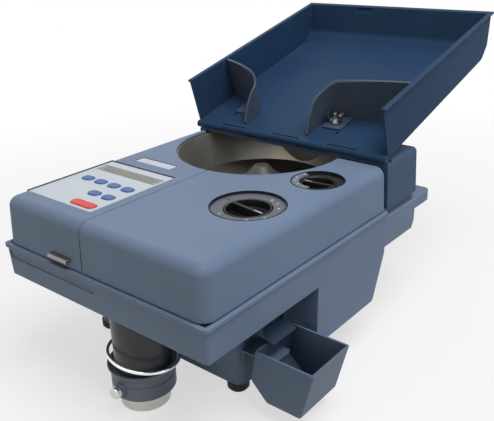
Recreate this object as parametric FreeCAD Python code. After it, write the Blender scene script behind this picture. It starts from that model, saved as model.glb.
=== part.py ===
import FreeCAD, Part
import math
import os

V = FreeCAD.Vector

# Desktop coin counter with an off-sort bin and a folding feed tray. Millimetres.
# X runs to the right of the housing's centre plane, Y to the rear of the front lip, Z up from the table.
# The finished pieces are moved together so that the middle of their footprint is the origin.

# Hopper and dials: the width of the machine follows from them
hopper_margin = 17.1
hopper_r = 90.3
hopper_y = 253.3
cover_behind_hopper = 10.3
diameter_dial_dx = 93.6
diameter_dial_y = 116.2
diameter_dial_r = 33.7
diameter_knob_r = 20.8
dial_land = 5.6
thickness_dial_y = 200.1
thickness_dial_r = 25.3
thickness_knob_r = 16.4
knob_wall = 1.4
knob_depth = 7.9
fin_thick = 3.2
diameter_knob_turn = 80.5
thickness_knob_turn = 96.5
dial_margin = 13.6
dial_lap = 3.5
dial_fit = 0.2
knob_clear = 0.7

# Base housing
lip_height = 136.4
lip_thick = 3.5
lip_overhang = 1.3
lip_corner = 3.5
lip_tail = 4.0
pan_depth = 31.7
pan_corner = 3.5
wall = 2.6
wall_slope = 0.03
deck_ledge = 4.4
box_floor = 9.7
box_front = 89.8
box_rear = 290.4
box_right_inset = 49.3
box_corner = 10.6
box_draft = 1.5
bulge_depth = 94.2
bulge_front = 147.8
bulge_flat = 102.1
bulge_run_out = 22.9
bulge_corner = 4.4
rear_bevel_drop = 11.4
rear_bevel_run = 3.5
rear_corner = 7.0
recess_height = 7.0
recess_depth = 6.2
grip_reach = 35.2
grip_thick = 11.4
grip_corner = 7.9
grip_drop = 8.8
grip_slot_length = 114.4
grip_slot_width = 17.6
front_recess_length = 121.4
front_recess_height = 7.9
front_recess_drop = 6.2
front_recess_depth = 1.3
foot_r = 10.6
foot_inset = 11.4
foot_hollow_r = 4.4
foot_hollow_depth = 3.5

# Covers
cover_height = 45.8
cover_set = 3.1
cover_slope = 0.048
cover_corner = 11.4
cover_edge = 9.7
cover_shadow = 1.1
hole_chamfer = 0.8
seam_gap = 0.5
seam_flange = 7.0
seam_beyond_panel = 11.4
plain_fit = 0.3

# Rear housing and tray hinge
block_front_gap = 5.7
block_depth = 66.0
block_height = 49.3
block_lift = 1.3
block_side_inset = 2.6
block_edge = 5.3
hinge_rebate = 2.2
hinge_rebate_depth = 10.6
barrel_r = 4.0
barrel_clear = 0.4
hinge_pin_r = 2.0
pin_fit = 0.05
knuckle_length = 35.2
knuckle_pitch = 71.3
knuckle_gap = 0.5
rest_rib_thick = 5.3
rest_rib_span = 132.0

# Tray, in its own frame: s along the floor from the hinge, n square to the floor
tray_tilt = 15.57
tray_width = 247.6
tray_shift = -1.6
tray_wall = 2.6
tray_floor_top = 3.5
tray_floor_length = 226.2
tray_bevel_run = 15.8
tray_bevel_rise = 10.6
tray_back_run = 12.3
tray_front_height = 50.7
tray_rear_height = 42.2
tray_front_s = 2.2
rim_width = 2.2
rim_height = 2.1
catch_width = 22.9
catch_lid = 1.2
catch_depth = 4.4
catch_ledge = 3.0
catch_recess = 1.5
gate_opening = 81.8
gate_wall = 2.2
gate_height = 47.5
left_gate_slant = 17.0
right_gate_slant = 7.0
gate_wing_s = 55.4
gate_bend_r = 22.9
gate_front_s = 9.7
gate_foot_reach = 12.3
gate_fall = ((9.7, 19.0), (21.1, 30.4), (35.2, 35.2))
gate_fall_radii = (17.5, 22.0, 22.0, 13.0)
gate_spare_hole = (10.6, 15.8)
stud_beyond_gate = 18.5
stud_s = 41.4
stud_r = 2.2
stud_height = 13.2
wing_nut_r = 4.8
wing_nut_height = 4.4
wing_span = 19.6
wing_rise = 9.7
wing_thick = 1.2

# Keypad
panel_from_left = 10.6
panel_width = 90.6
panel_front = 27.3
panel_depth = 101.2
panel_recess = 1.8
panel_thick = 1.2
panel_ledge = 2.6
key_length = 14.1
key_width = 10.1
key_pitch_x = 18.8
key_row_gap = 22.9
key_row_y = 81.8
key_left = 30.5
key_proud = 0.9
key_travel = 0.5
key_flange = 1.1
red_key_length = 30.8
red_key_left = 80.4
red_key_y = 36.6
window_length = 82.7
window_depth = 14.1
window_left = 15.0
window_front = 103.8
window_lip = 1.8
board_drop = 7.0
board_thick = 1.6
plate_left = 30.4
plate_length = 48.8
plate_front = 143.0
plate_depth = 11.0
plate_recess = 0.9

# Coin drive
deck_thick = 1.8
disc_rise = 7.9
disc_r = 73.0
disc_thick = 3.5
bowl_clear = 1.8
bowl_wall = 1.8
bowl_ring = 7.0
bowl_rear_gap = 1.8
cone_r = 26.4
cone_height = 17.6
pad_count = 9
shaft_r = 5.3
bearing_r = 12.3
disc_pulley_r = 37.0
motor_pulley_r = 12.3
pulley_width = 8.8
pulley_drop = 3.5
belt_thick = 1.8
motor_r = 26.4
motor_length = 48.4
motor_dx = 86.2
motor_y = 198.0
motor_shaft_r = 3.5
track_r = 59.8
track_gap = 26.4
track_short = 5.3
fence_thick = 7.0
fence_height = 8.0
fence_before_gate = 8.0
bed_beyond_rail = 24.0
bed_reach = 40.0
gate_beyond_disc = 5.3
gate_arm_lift = 12.0
gate_bush_r = 9.0
rail_thick = 2.1
rail_travel = 12.3
rail_from_end = 13.0
rail_before_gate = 12.0
gear_module = 1.0
gear_teeth = 12
roller_r = 9.7
roller_width = 14.1
roller_from_end = 25.0
roller_before_gate = 23.0
coin_room = 2.6
roller_shaft_r = 2.6
feed_motor_r = 10.5
feed_motor_length = 33.4
feed_shaft_depth = 12.0
bracket_from_end = 4.0
bracket_slant = 8.0
bracket_over_roller = 8.0

# Spout, chute and bin
spout_from_left = 134.9
spout_y = 38.5
spout_r = 24.9
spout_bore_r = 22.2
collar_r = 29.3
collar_low = 15.6
collar_height = 26.8
collar_groove = 14.3
collar_dish_r = 31.7
tube_r = 23.1
tube_wall = 1.1
tube_low = 1.3
ring_r = 32.1
ring_wire_r = 1.8
ring_tilt = 12.0
ring_lean_turn = 135.0
ring_shift_x = 3.5
ring_shift_y = -0.9
screw_height = 27.6
screw_turn = 275.0
screw_boss_reach = 3.5
screw_head_r = 5.5
screw_head_length = 5.7
screw_shank_r = 2.6
chute_front = 95.0
chute_width = 33.4
chute_slope = 22.0
chute_wall = 1.8
chute_side = 7.9
chute_overlap = 9.2
bin_gap = 26.8
bin_front = 80.1
bin_depth = 56.3
bin_rim_width = 60.3
bin_rim_height = 66.4
bin_height = 49.3
bin_left_flare = 5.3
bin_bevel = 16.7
bin_right_taper = 13.2
bin_wall = 1.9
bin_edge = 2.2
hanger_thick = 1.8
hanger_width = 26.4
hanger_drop = 19.4
hanger_reach = 8.8

# Latch, power entry and fasteners
latch_left = 73.0
latch_width = 25.5
latch_rise = 9.2
latch_thick = 1.1
latch_curl_r = 2.0
latch_travel = 1.5
inlet_from_box_right = 27.3
switch_from_box_right = 60.7
power_height = 54.6
supply_from_left = 40.0
supply_before_rear = 140.0
supply_length = 110.0
supply_depth = 80.0
vent_from_left = 45.0
vent_pitch = 11.0
vent_width = 5.0
vent_half = 22.0
vent_corner = 2.4
inlet_length = 27.5
inlet_height = 20.0
switch_length = 13.0
switch_height = 19.0
bezel = 2.0
entry_depth = 26.0
rocker_tilt = 8.0
screw_r = 3.5
screw_inset = 19.4
screw_rise = 17.6

dial_reach = hopper_r + dial_land + thickness_dial_r
thickness_dial_dx = round(math.sqrt(dial_reach ** 2 - (hopper_y - thickness_dial_y) ** 2), 1)
lip_width = hopper_margin + hopper_r + thickness_dial_dx + thickness_dial_r + dial_margin
left = -lip_width / 2
right = lip_width / 2
hopper_x = left + hopper_margin + hopper_r
spout_x = left + spout_from_left
cover_top = lip_height + cover_height
cover_rear = hopper_y + cover_behind_hopper
lip_rear = cover_rear + lip_tail
pan_bottom = lip_height - pan_depth
block_front = cover_rear + block_front_gap
block_rear = block_front + block_depth
block_bottom = lip_height + block_lift
block_top = lip_height + block_height
hinge_y = block_front + 1.0
hinge_z = block_top - hinge_rebate + barrel_r + barrel_clear
deck_top = lip_height - 1.0
disc_top = deck_top + disc_rise
seam_x = left + panel_from_left + panel_width + seam_beyond_panel
panel_top = cover_top - panel_recess + panel_thick


def rect(a0, a1, b0, b1):
    return [(a0, b0), (a1, b0), (a1, b1), (a0, b1)]


def outline(points, radii, place):
    # closed wire through the points, each corner rounded by its radius
    if not isinstance(radii, (list, tuple)):
        radii = [radii] * len(points)
    corners = []
    for index, point in enumerate(points):
        here = V(point[0], point[1], 0)
        back = V(*points[index - 1], 0) - here
        ahead = V(*points[(index + 1) % len(points)], 0) - here
        radius = radii[index]
        if radius <= 0:
            corners.append((here, None, here))
            continue
        half = back.getAngle(ahead) / 2
        run = radius / math.tan(half)
        back.normalize()
        ahead.normalize()
        middle = back + ahead
        middle.normalize()
        apex = here + middle * (radius / math.sin(half) - radius)
        corners.append((here + back * run, apex, here + ahead * run))
    edges = []
    for index, (start, apex, end) in enumerate(corners):
        if apex:
            edges.append(Part.Arc(place(start), place(apex), place(end)).toShape())
        following = corners[(index + 1) % len(corners)][0]
        if end.distanceToPoint(following) > 1e-6:
            edges.append(Part.LineSegment(place(end), place(following)).toShape())
    return Part.Wire(edges)


def prism(axis, points, low, high, radii=0):
    # straight solid along an axis: points are (y, z) for x, (x, z) for y and (x, y) for z
    places = {
        "x": lambda p: V(low, p.x, p.y),
        "y": lambda p: V(p.x, low, p.y),
        "z": lambda p: V(p.x, p.y, low),
    }
    directions = {"x": V(1, 0, 0), "y": V(0, 1, 0), "z": V(0, 0, 1)}
    face = Part.Face(outline(points, radii, places[axis]))
    return face.extrude(directions[axis] * (high - low))


def box(x0, x1, y0, y1, z0, z1):
    return Part.makeBox(x1 - x0, y1 - y0, z1 - z0, V(x0, y0, z0))


def rod(radius, start, end):
    axis = V(*end) - V(*start)
    return Part.makeCylinder(radius, axis.Length, V(*start), axis)


def tube(outer, inner, start, end):
    return rod(outer, start, end).cut(rod(inner, start, end))


def turned(points, centre=(0, 0), radii=0):
    # solid of revolution about the vertical axis through centre: points are (radius, z)
    face = Part.Face(outline(points, radii, lambda p: V(centre[0] + p.x, centre[1], p.y)))
    return face.revolve(V(centre[0], centre[1], 0), V(0, 0, 1), 360)


def tapered(z0, rect0, z1, rect1, radii):
    wires = [outline(rect(*rect0), radii, lambda p: V(p.x, p.y, z0)),
             outline(rect(*rect1), radii, lambda p: V(p.x, p.y, z1))]
    return Part.makeLoft(wires, True, True)


def joined(shapes):
    whole = shapes[0].fuse(shapes[1:]) if len(shapes) > 1 else shapes[0]
    return whole.removeSplitter()


def oval(x, y, length, width, z0, z1):
    return prism("z", rect(x - length / 2, x + length / 2, y - width / 2, y + width / 2), z0, z1,
                 width / 2 - 0.01)


def countersink(x, y, radius, top):
    return Part.makeCone(radius, radius + hole_chamfer, hole_chamfer, V(x, y, top - hole_chamfer))


parts = {}


# Base housing: lip, pan, lower box, motor bulge and rear grip in one moulding

def pan_rect(z, inset):
    lean = wall_slope * (lip_height - z) + lip_overhang + inset
    return left + lean, right - lean, lean, block_front


def pan_form(inset, top):
    low = pan_bottom + inset
    radius = pan_corner - inset
    return tapered(low, pan_rect(low, inset), top, pan_rect(top, inset), [radius, radius, 0, 0])


def rear_form(inset, top):
    side_top = pan_rect(top, inset)[1]
    side_low = pan_rect(pan_bottom, inset)[1]
    bottom = pan_bottom - rear_bevel_drop + inset
    floor_half = side_low - rear_bevel_run
    section = [(-side_top, top), (-side_low, pan_bottom), (-floor_half, bottom),
               (floor_half, bottom), (side_low, pan_bottom), (side_top, top)]
    body = prism("y", section, lip_rear - 4, block_rear - inset)
    rear = block_rear - inset
    plan = [(left, 0), (right, 0), (right, rear - rear_corner), (side_top - rear_corner, rear),
            (rear_corner - side_top, rear), (left, rear - rear_corner)]
    return body.common(prism("z", plan, 0, lip_height + block_height))


def box_form(inset, top):
    lean = pan_rect(pan_bottom, 0)[1]
    low = box_floor + inset
    head = (-lean + 1 + inset, right - box_right_inset - inset, box_front + inset, box_rear - inset)
    foot = (head[0] + box_draft, head[1], head[2] + box_draft, head[3])
    return tapered(low, foot, top, head, box_corner - inset)


def bulge_form(inset, top):
    low = lip_height - bulge_depth + inset
    inner = right - box_right_inset - box_corner * 2
    section = [(inner, low), (pan_rect(low, inset)[1], low), (pan_rect(top, inset)[1], top), (inner, top)]
    rear = bulge_front + bulge_flat
    side = [(bulge_front + inset, low), (rear, low), (rear + bulge_run_out - inset, pan_bottom),
            (rear + bulge_run_out - inset, top), (bulge_front + inset, top)]
    rounding = [bulge_corner - inset / 2, bulge_corner, 0, 0, 0]
    return prism("y", section, bulge_front, lip_rear).common(prism("x", side, inner, right, rounding))


def base_housing():
    plinth_half = pan_rect(lip_height, 0)[1] - recess_depth
    recess_floor = lip_height - recess_height
    plinth_rear = block_rear - 1
    shell = joined([pan_form(0, lip_height), rear_form(0, recess_floor), box_form(0, pan_bottom + wall),
                    bulge_form(0, pan_bottom + wall),
                    box(-plinth_half, plinth_half, lip_rear - wall, plinth_rear, pan_bottom, block_bottom)])
    over = lip_height + block_height
    hollow = joined([pan_form(wall, over), rear_form(wall, recess_floor - wall),
                     box_form(wall, pan_bottom + 2 * wall), bulge_form(wall, pan_bottom + 2 * wall),
                     box(wall - plinth_half, plinth_half - wall, block_front - 2 * wall, plinth_rear - wall,
                         pan_bottom, over)])
    lip = prism("z", rect(left, right, 0, lip_rear), lip_height - lip_thick, lip_height,
                [lip_corner, lip_corner, 2, 2])
    shell = joined([shell, lip]).cut(hollow)
    notch = box(-plinth_half - 40, plinth_half + 40, lip_rear, block_rear + 1, recess_floor, over)
    keep = box(-plinth_half, plinth_half, lip_rear - 1, block_rear, recess_floor - 1, over)
    shell = shell.cut(notch.cut(keep))
    x0, x1, y0, y1 = pan_rect(lip_height, wall)
    ledge_top = deck_top - deck_thick
    ledge = box(x0 - 1, x1 + 1, y0 - 1, cover_rear, ledge_top - wall, ledge_top)
    ledge = ledge.cut(box(x0 + deck_ledge, x1 - deck_ledge, y0 + deck_ledge, lip_rear, 0, lip_height))
    grip_top = lip_height - grip_drop
    grip_half = right - wall - 1
    grip = prism("z", rect(-grip_half, grip_half, block_rear - wall, block_rear + grip_reach),
                 grip_top - grip_thick, grip_top, [0, 0, grip_corner, grip_corner])
    slot_y = block_rear + grip_reach / 2
    slot = prism("z", rect(-grip_slot_length / 2, grip_slot_length / 2, slot_y - grip_slot_width / 2,
                           slot_y + grip_slot_width / 2), 0, lip_height, grip_slot_width / 2 - 0.01)
    shell = joined([shell, ledge, grip.cut(slot)])
    return shell.cut(joined(housing_openings()))


def housing_openings():
    box_right = right - box_right_inset
    cuts = [rod(spout_r + plain_fit, (spout_x, spout_y, pan_bottom - 1), (spout_x, spout_y, lip_height))]
    mouth_low = chute_height(box_right) - chute_wall - plain_fit
    cuts.append(box(box_right - box_corner, box_right + 2, chute_front - plain_fit,
                    chute_front + chute_width + plain_fit, mouth_low, pan_bottom - 1))
    for place, length, height in power_entries():
        cuts.append(box(place - length / 2, place + length / 2, box_rear - 2 * wall, box_rear + 1,
                        power_height - height / 2, power_height + height / 2))
    first_vent = left + vent_from_left
    place, length, height = power_entries()[1]
    vent_room = place - length / 2 - bezel - first_vent
    for index in range(int(vent_room // vent_pitch)):
        x = first_vent + index * vent_pitch
        cuts.append(prism("y", rect(x, x + vent_width, power_height - vent_half, power_height + vent_half),
                          box_rear - 2 * wall, box_rear + 1, vent_corner))
    recess_top = lip_height - front_recess_drop
    start = left + lip_overhang + pan_corner + 1
    recess = rect(start, start + front_recess_length, recess_top - front_recess_height, recess_top)
    cuts.append(prism("y", recess, 0, pan_rect(recess_top, front_recess_depth)[2], [3, 3, 1, 1]))
    return cuts


def power_entries():
    box_right = right - box_right_inset
    return [(box_right - inlet_from_box_right, inlet_length, inlet_height),
            (box_right - switch_from_box_right, switch_length, switch_height)]


def chute_height(x):
    # top of the chute's plate at x; its tip stays just over the bin's rim
    tip = right - box_right_inset + bin_gap + chute_overlap
    rim = bin_rim_height + chute_wall / math.cos(math.radians(chute_slope)) + 0.8
    return rim + (tip - x) * math.tan(math.radians(chute_slope))


def foot_places():
    x0 = pan_rect(pan_bottom, 0)[0] + foot_inset
    x1 = right - box_right_inset - foot_inset
    return [(x, y) for x in (x0, x1) for y in (box_front + foot_inset, box_rear - foot_inset)]


def rubber_feet():
    section = [(foot_hollow_r, foot_hollow_depth), (foot_hollow_r, 0), (foot_r - 2, 0), (foot_r, 2.5),
               (foot_r, box_floor), (0, box_floor), (0, foot_hollow_depth)]
    return Part.makeCompound([turned(section, place) for place in foot_places()])


parts["base_housing"] = base_housing()
parts["rubber_feet"] = rubber_feet()


# Covers: one form, hollowed and parted along the seam

def cover_form(inset, low, top, edge):
    def plan(z):
        lean = cover_set + cover_slope * (z - lip_height) + inset
        return left + lean, right - lean, lean, cover_rear - inset
    corner = cover_corner - inset
    solid = tapered(low, plan(low), top, plan(top), [corner, corner, 0, 0])
    rear = plan(top)[3]
    crown = [e for e in solid.Edges
             if all(abs(v.Z - top) < 1e-4 for v in e.Vertexes)
             and not all(abs(v.Y - rear) < 1e-4 for v in e.Vertexes)]
    return solid.makeFillet(edge, crown)


def cover_shell():
    skin = cover_form(0, lip_height + cover_shadow, cover_top, cover_edge)
    tongue = cover_form(wall / 2, lip_height, cover_top - wall / 2, cover_edge - wall / 2)
    hollow = cover_form(wall, lip_height - 1, cover_top - wall, cover_edge - wall)
    shell = skin.fuse(tongue).removeSplitter().cut(hollow)
    shell = shell.cut(rod(hopper_r, (hopper_x, hopper_y, 0), (hopper_x, hopper_y, cover_top + 1)))
    bowl_room = rod(hopper_r + bowl_wall, (hopper_x, hopper_y, 0), (hopper_x, hopper_y, cover_top - wall))
    shell = shell.cut(bowl_room)
    return shell.cut(countersink(hopper_x, hopper_y, hopper_r, cover_top)), hollow


def control_cover(shell, hollow):
    edge = seam_x - seam_gap / 2
    half = box(left, edge, -10, lip_rear, 0, cover_top + 1)
    cover = joined([shell.common(half), seam_rib(hollow, edge - wall, edge)])
    x0, x1, y0, y1 = panel_rect(plain_fit)
    cover = cover.cut(prism("z", rect(x0, x1, y0, y1), cover_top - panel_recess, cover_top + 1, 2))
    x0, x1, y0, y1 = panel_rect(-panel_ledge)
    cover = cover.cut(box(x0, x1, y0, y1, lip_height + cover_edge, cover_top))
    cover = cover.cut(box(*plate_rect(plain_fit), cover_top - plate_recess, cover_top + 1))
    slot_z = lip_height + latch_rise
    x0 = left + latch_left
    cover = cover.cut(box(x0 - plain_fit, x0 + latch_width + plain_fit, -1, 20,
                          slot_z - plain_fit, slot_z + latch_thick + plain_fit))
    pillars = [rod(2.5, (x, y, board_top()), (x, y, cover_top - wall)) for x, y in board_corners()]
    return joined([cover] + pillars)


def seam_rib(hollow, x0, x1):
    # stiffening flange under the top and behind the front, along the parting seam
    hopper = rod(hopper_r + wall, (hopper_x, hopper_y, 0), (hopper_x, hopper_y, cover_top))
    room = cover_form(wall + seam_flange, lip_height - 1, cover_top - wall - seam_flange, 1)
    slab = box(x0, x1, -10, cover_rear - wall - 1, lip_height, cover_top)
    behind = box(x0, x1, hopper_y - hopper_r, lip_rear, 0, cover_top)
    return hollow.common(slab).cut(joined([room, hopper, behind]))


def coin_path_cover(shell, hollow):
    edge = seam_x + seam_gap / 2
    cover = shell.common(box(edge, right, -10, lip_rear, 0, cover_top + 1))
    cover = joined([cover, seam_rib(hollow, edge, edge + wall)])
    for x, y, radius in dial_places():
        cover = cover.cut(rod(radius, (x, y, lip_height + cover_edge), (x, y, cover_top + 1)))
        cover = cover.cut(countersink(x, y, radius, cover_top))
    return cover


def dial_places():
    return [(hopper_x + diameter_dial_dx, diameter_dial_y, diameter_dial_r),
            (hopper_x + thickness_dial_dx, thickness_dial_y, thickness_dial_r)]


def panel_rect(grow):
    x0 = left + panel_from_left
    return x0 - grow, x0 + panel_width + grow, panel_front - grow, panel_front + panel_depth + grow


def plate_rect(grow):
    x0 = left + plate_left
    return x0 - grow, x0 + plate_length + grow, plate_front - grow, plate_front + plate_depth + grow


def board_top():
    return cover_top - board_drop


def board_corners():
    x0, x1, y0, y1 = panel_rect(-1.8)
    return [(x, y) for x in (x0, x1) for y in (y0, y1)]


cover, cover_hollow = cover_shell()
parts["control_cover"] = control_cover(cover, cover_hollow)
parts["coin_path_cover"] = coin_path_cover(cover, cover_hollow)


# Keypad: panel, keys, display window and board

def key_places():
    row = [(left + key_left + index * key_pitch_x, key_row_y) for index in range(4)]
    return row + [(x, y - key_row_gap) for x, y in row[2:]]


def keypad_panel():
    under = cover_top - panel_recess
    panel = prism("z", rect(*panel_rect(0)), under, panel_top, 1.7)
    holes = [oval(x, y, key_length + 2 * plain_fit, key_width + 2 * plain_fit, under - 1, panel_top + 1)
             for x, y in key_places()]
    holes.append(oval(left + red_key_left, red_key_y, red_key_length + 2 * plain_fit,
                      key_width + 2 * plain_fit, under - 1, panel_top + 1))
    x0, x1, y0, y1 = window_rect(0.1)
    holes.append(box(x0, x1, y0, y1, under - 1, panel_top + 1))
    return panel.cut(joined(holes))


def window_rect(grow):
    x0 = left + window_left
    return x0 - grow, x0 + window_length + grow, window_front - grow, window_front + window_depth + grow


def key_cap(x, y, length):
    under = cover_top - panel_recess
    top = panel_top + key_proud
    cap = oval(x, y, length, key_width, under - 1, top)
    crown = [e for e in cap.Edges if all(abs(v.Z - top) < 1e-4 for v in e.Vertexes)]
    cap = cap.makeChamfer(key_proud * 0.6, crown)
    flange = oval(x, y, length + 2 * key_flange, key_width + 2 * key_flange, under - 1.6, under - 0.4)
    return joined([cap, flange])


def display_window():
    under = cover_top - panel_recess
    pane = box(*window_rect(0), under - 0.5, panel_top - 0.3)
    x0, x1, y0, y1 = window_rect(window_lip)
    x0 = max(x0, panel_rect(-panel_ledge)[0] + plain_fit)
    x1 = min(x1, panel_rect(-panel_ledge)[1] - plain_fit)
    return joined([pane, box(x0, x1, y0, y1, under - 1, under)])


def control_board():
    top = board_top()
    x0, x1, y0, y1 = panel_rect(1)
    board = box(x0, x1, y0, y1, top - board_thick, top)
    reach = cover_top - panel_recess - 1.6 - key_travel - 0.3
    places = key_places() + [(left + red_key_left, red_key_y)]
    switches = [rod(3.2, (x, y, top), (x, y, reach)) for x, y in places]
    chips = [box(x0 + 30, x0 + 44, y0 + 8, y0 + 22, top - board_thick - 2.5, top - board_thick),
             box(x0 + 60, x0 + 85, y0 + 60, y0 + 70, top - board_thick - 6, top - board_thick)]
    module = box(*window_rect(0), top, cover_top - panel_recess - 1)
    return joined([board] + switches + chips + [module])


parts["keypad_panel"] = keypad_panel()
parts["display_window"] = display_window()
parts["control_board"] = control_board()
parts["name_plate"] = box(*plate_rect(0), cover_top - plate_recess, cover_top - 0.2)
for number, place in enumerate(key_places(), 1):
    parts["blue_key_%d" % number] = key_cap(*place, key_length)
parts["red_key"] = key_cap(left + red_key_left, red_key_y, red_key_length)


# Rear housing with the fixed hinge knuckles and the ribs that carry the tray

def knuckle_starts():
    middle = tray_shift - knuckle_length / 2
    return [middle + step * knuckle_pitch for step in (-1, 0, 1)]


def tray_under(y):
    # height of the tray's underside over the table at y
    tilt = math.radians(tray_tilt)
    low = tray_floor_top - tray_wall
    return hinge_z + (y - hinge_y) * math.tan(tilt) + low / math.cos(tilt)


def rear_housing():
    half = right - block_side_inset
    def form(inset, low, top):
        plan0 = (inset - half, half - inset, block_front + inset, block_rear - inset)
        lean = wall_slope * (top - low)
        plan1 = (plan0[0] + lean, plan0[1] - lean, plan0[2], plan0[3] - lean)
        solid = tapered(low, plan0, top, plan1, [0, 0, block_edge - inset / 2, block_edge - inset / 2])
        crown = [e for e in solid.Edges
                 if all(abs(v.Z - top) < 1e-4 for v in e.Vertexes)
                 and not all(abs(v.Y - plan1[2]) < 1e-4 for v in e.Vertexes)]
        return solid.makeFillet(block_edge - inset / 2 - 0.5, crown)
    skin = form(0, block_bottom, block_top)
    hollow = form(wall, block_bottom - 1, block_top - hinge_rebate - wall)
    rebate = box(left, right, block_front - 1, block_front + hinge_rebate_depth,
                 block_top - hinge_rebate, block_top + 1)
    bowl = rod(hopper_r + 2 * wall, (hopper_x, hopper_y, 0), (hopper_x, hopper_y, bowl_top() + 1))
    front = box(left, right, 0, block_front + 2 * wall, 0, cover_top)
    shell = skin.cut(hollow).cut(rebate).cut(bowl.common(front))
    pieces = [shell]
    for start in knuckle_starts():
        pieces.append(rod(barrel_r, (start, hinge_y, hinge_z), (start + knuckle_length, hinge_y, hinge_z)))
        pieces.append(box(start, start + knuckle_length, block_front, hinge_y + barrel_r,
                          block_top - hinge_rebate - 1, hinge_z))
    rib_front = block_front + hinge_rebate_depth + 12
    rib_rear = block_rear - block_edge - 6
    low = block_top - 1
    rib = [(rib_front, low), (rib_rear, low), (rib_rear, tray_under(rib_rear) - plain_fit),
           (rib_front, tray_under(rib_front) - plain_fit)]
    for side in (-1, 1):
        x = tray_shift + side * rest_rib_span / 2 - rest_rib_thick / 2
        pieces.append(prism("x", rib, x, x + rest_rib_thick))
    pin_hole = rod(hinge_pin_r + pin_fit, (left, hinge_y, hinge_z), (right, hinge_y, hinge_z))
    return joined(pieces).cut(pin_hole).cut(joined([screw_hole(*place) for place in screw_places()]))


def screw_places():
    rear = block_rear - wall_slope * screw_rise
    return [(x, rear, block_bottom + screw_rise) for x in (left + screw_inset, right - screw_inset)]


def screw_hole(x, y, z):
    # hole for the shank, and a flat seat for the head on the sloping wall
    seat = rod(screw_r + plain_fit, (x, y, z), (x, y + wall, z))
    return rod(screw_shank_r / 2, (x, y - 3 * wall, z), (x, y + wall, z)).fuse(seat)


def bowl_top():
    return cover_top - wall - 0.5


parts["rear_housing"] = rear_housing()
pin_half = tray_width / 2 - 1
parts["hinge_pin"] = rod(hinge_pin_r, (tray_shift - pin_half, hinge_y, hinge_z),
                         (tray_shift + pin_half, hinge_y, hinge_z))


# Tray and gates, built flat about the hinge axis and then tilted

def tilted(shape):
    shape = shape.copy()
    shape.rotate(V(0, 0, 0), V(1, 0, 0), tray_tilt)
    shape.translate(V(0, hinge_y, hinge_z))
    return shape


def tray_side(offset):
    # side outline of the tray; offset moves the floor and the back inwards
    floor = tray_floor_top - tray_wall + offset
    bevel = (tray_floor_length + tray_bevel_run, floor + tray_bevel_rise)
    lean = tray_back_run / (tray_rear_height - tray_bevel_rise)
    top = tray_floor_top + tray_rear_height
    back_top = (bevel[0] + (top - bevel[1]) * lean, top)
    front_top = (tray_front_s, tray_floor_top + tray_front_height)
    return [(tray_front_s, floor), (tray_floor_length - offset * 0.4, floor), (bevel[0] - offset, bevel[1]),
            (back_top[0] - offset, back_top[1]), front_top]


def tray_x(inset):
    return tray_shift - tray_width / 2 + inset, tray_shift + tray_width / 2 - inset


def catch_side(inner):
    # hollow in the inner face of the back, under the rim, with a sloping ledge below it
    lean = (inner[3][0] - inner[2][0]) / (inner[3][1] - inner[2][1])
    top = inner[3]
    levels = [catch_lid, catch_depth, catch_depth + catch_ledge]
    face = [(top[0] - depth * lean, top[1] - depth) for depth in levels]
    return [(face[0][0] - tray_wall, face[0][1]), (face[0][0] + catch_recess, face[0][1]),
            (face[1][0] + catch_recess, face[1][1]), face[2], (face[2][0] - tray_wall, face[2][1])]


def coin_tray():
    outer = tray_side(0)
    x0, x1 = tray_x(0)
    body = prism("x", outer, x0, x1, [0, 14, 10, 0, 0])
    inner = tray_side(tray_wall)
    deep = 80.0
    opened = [(-deep, inner[0][1]), inner[1], inner[2], inner[3],
              (inner[3][0] + 1, inner[3][1] + 2), (inner[3][0], deep + deep), (-deep, deep + deep)]
    body = body.cut(prism("x", opened, x0 + tray_wall, x1 - tray_wall, [0, 12, 8, 0, 0, 0, 0]))
    low_rear = (outer[3][0], outer[3][1] - rim_height)
    low_front = (outer[4][0], outer[4][1] - rim_height)
    band = [low_front, (low_rear[0] + rim_width, low_rear[1]),
            (outer[3][0] + rim_width, outer[3][1]), outer[4]]
    rim = prism("x", band, x0 - rim_width, x1 + rim_width)
    rim = rim.cut(prism("x", [(-deep, 0), (low_rear[0] - tray_wall, 0),
                              (low_rear[0] - tray_wall, deep + deep), (-deep, deep + deep)],
                        x0 + tray_wall, x1 - tray_wall))
    catch_x = left + latch_left + latch_width / 2
    catch = prism("x", catch_side(inner), catch_x - catch_width / 2, catch_x + catch_width / 2)
    floor_low = tray_floor_top - tray_wall
    apron = box(x0, x1, 0, tray_front_s + 1, floor_low, tray_floor_top)
    barrel = rod(barrel_r, (x0, 0, 0), (x1, 0, 0))
    body = joined([body, rim, apron, barrel]).cut(catch)
    cuts = [rod(hinge_pin_r + pin_fit, (x0 - 1, 0, 0), (x1 + 1, 0, 0))]
    for start in knuckle_starts():
        cuts.append(rod(barrel_r + barrel_clear + knuckle_gap, (start - knuckle_gap, 0, 0),
                        (start + knuckle_length + knuckle_gap, 0, 0)))
    for x, s in stud_places() + spare_holes():
        cuts.append(rod(stud_r, (x, s, floor_low - 1), (x, s, tray_floor_top + 1)))
    return body.cut(joined(cuts))


def gate_lines():
    return hopper_x - gate_opening / 2, hopper_x + gate_opening / 2


def stud_places():
    low, high = gate_lines()
    return [(low - stud_beyond_gate, stud_s), (high + stud_beyond_gate, stud_s)]


def spare_holes():
    out, ahead = gate_spare_hole
    return [(x + side * out, s - ahead) for (x, s), side in zip(stud_places(), (-1, 1))]


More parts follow.
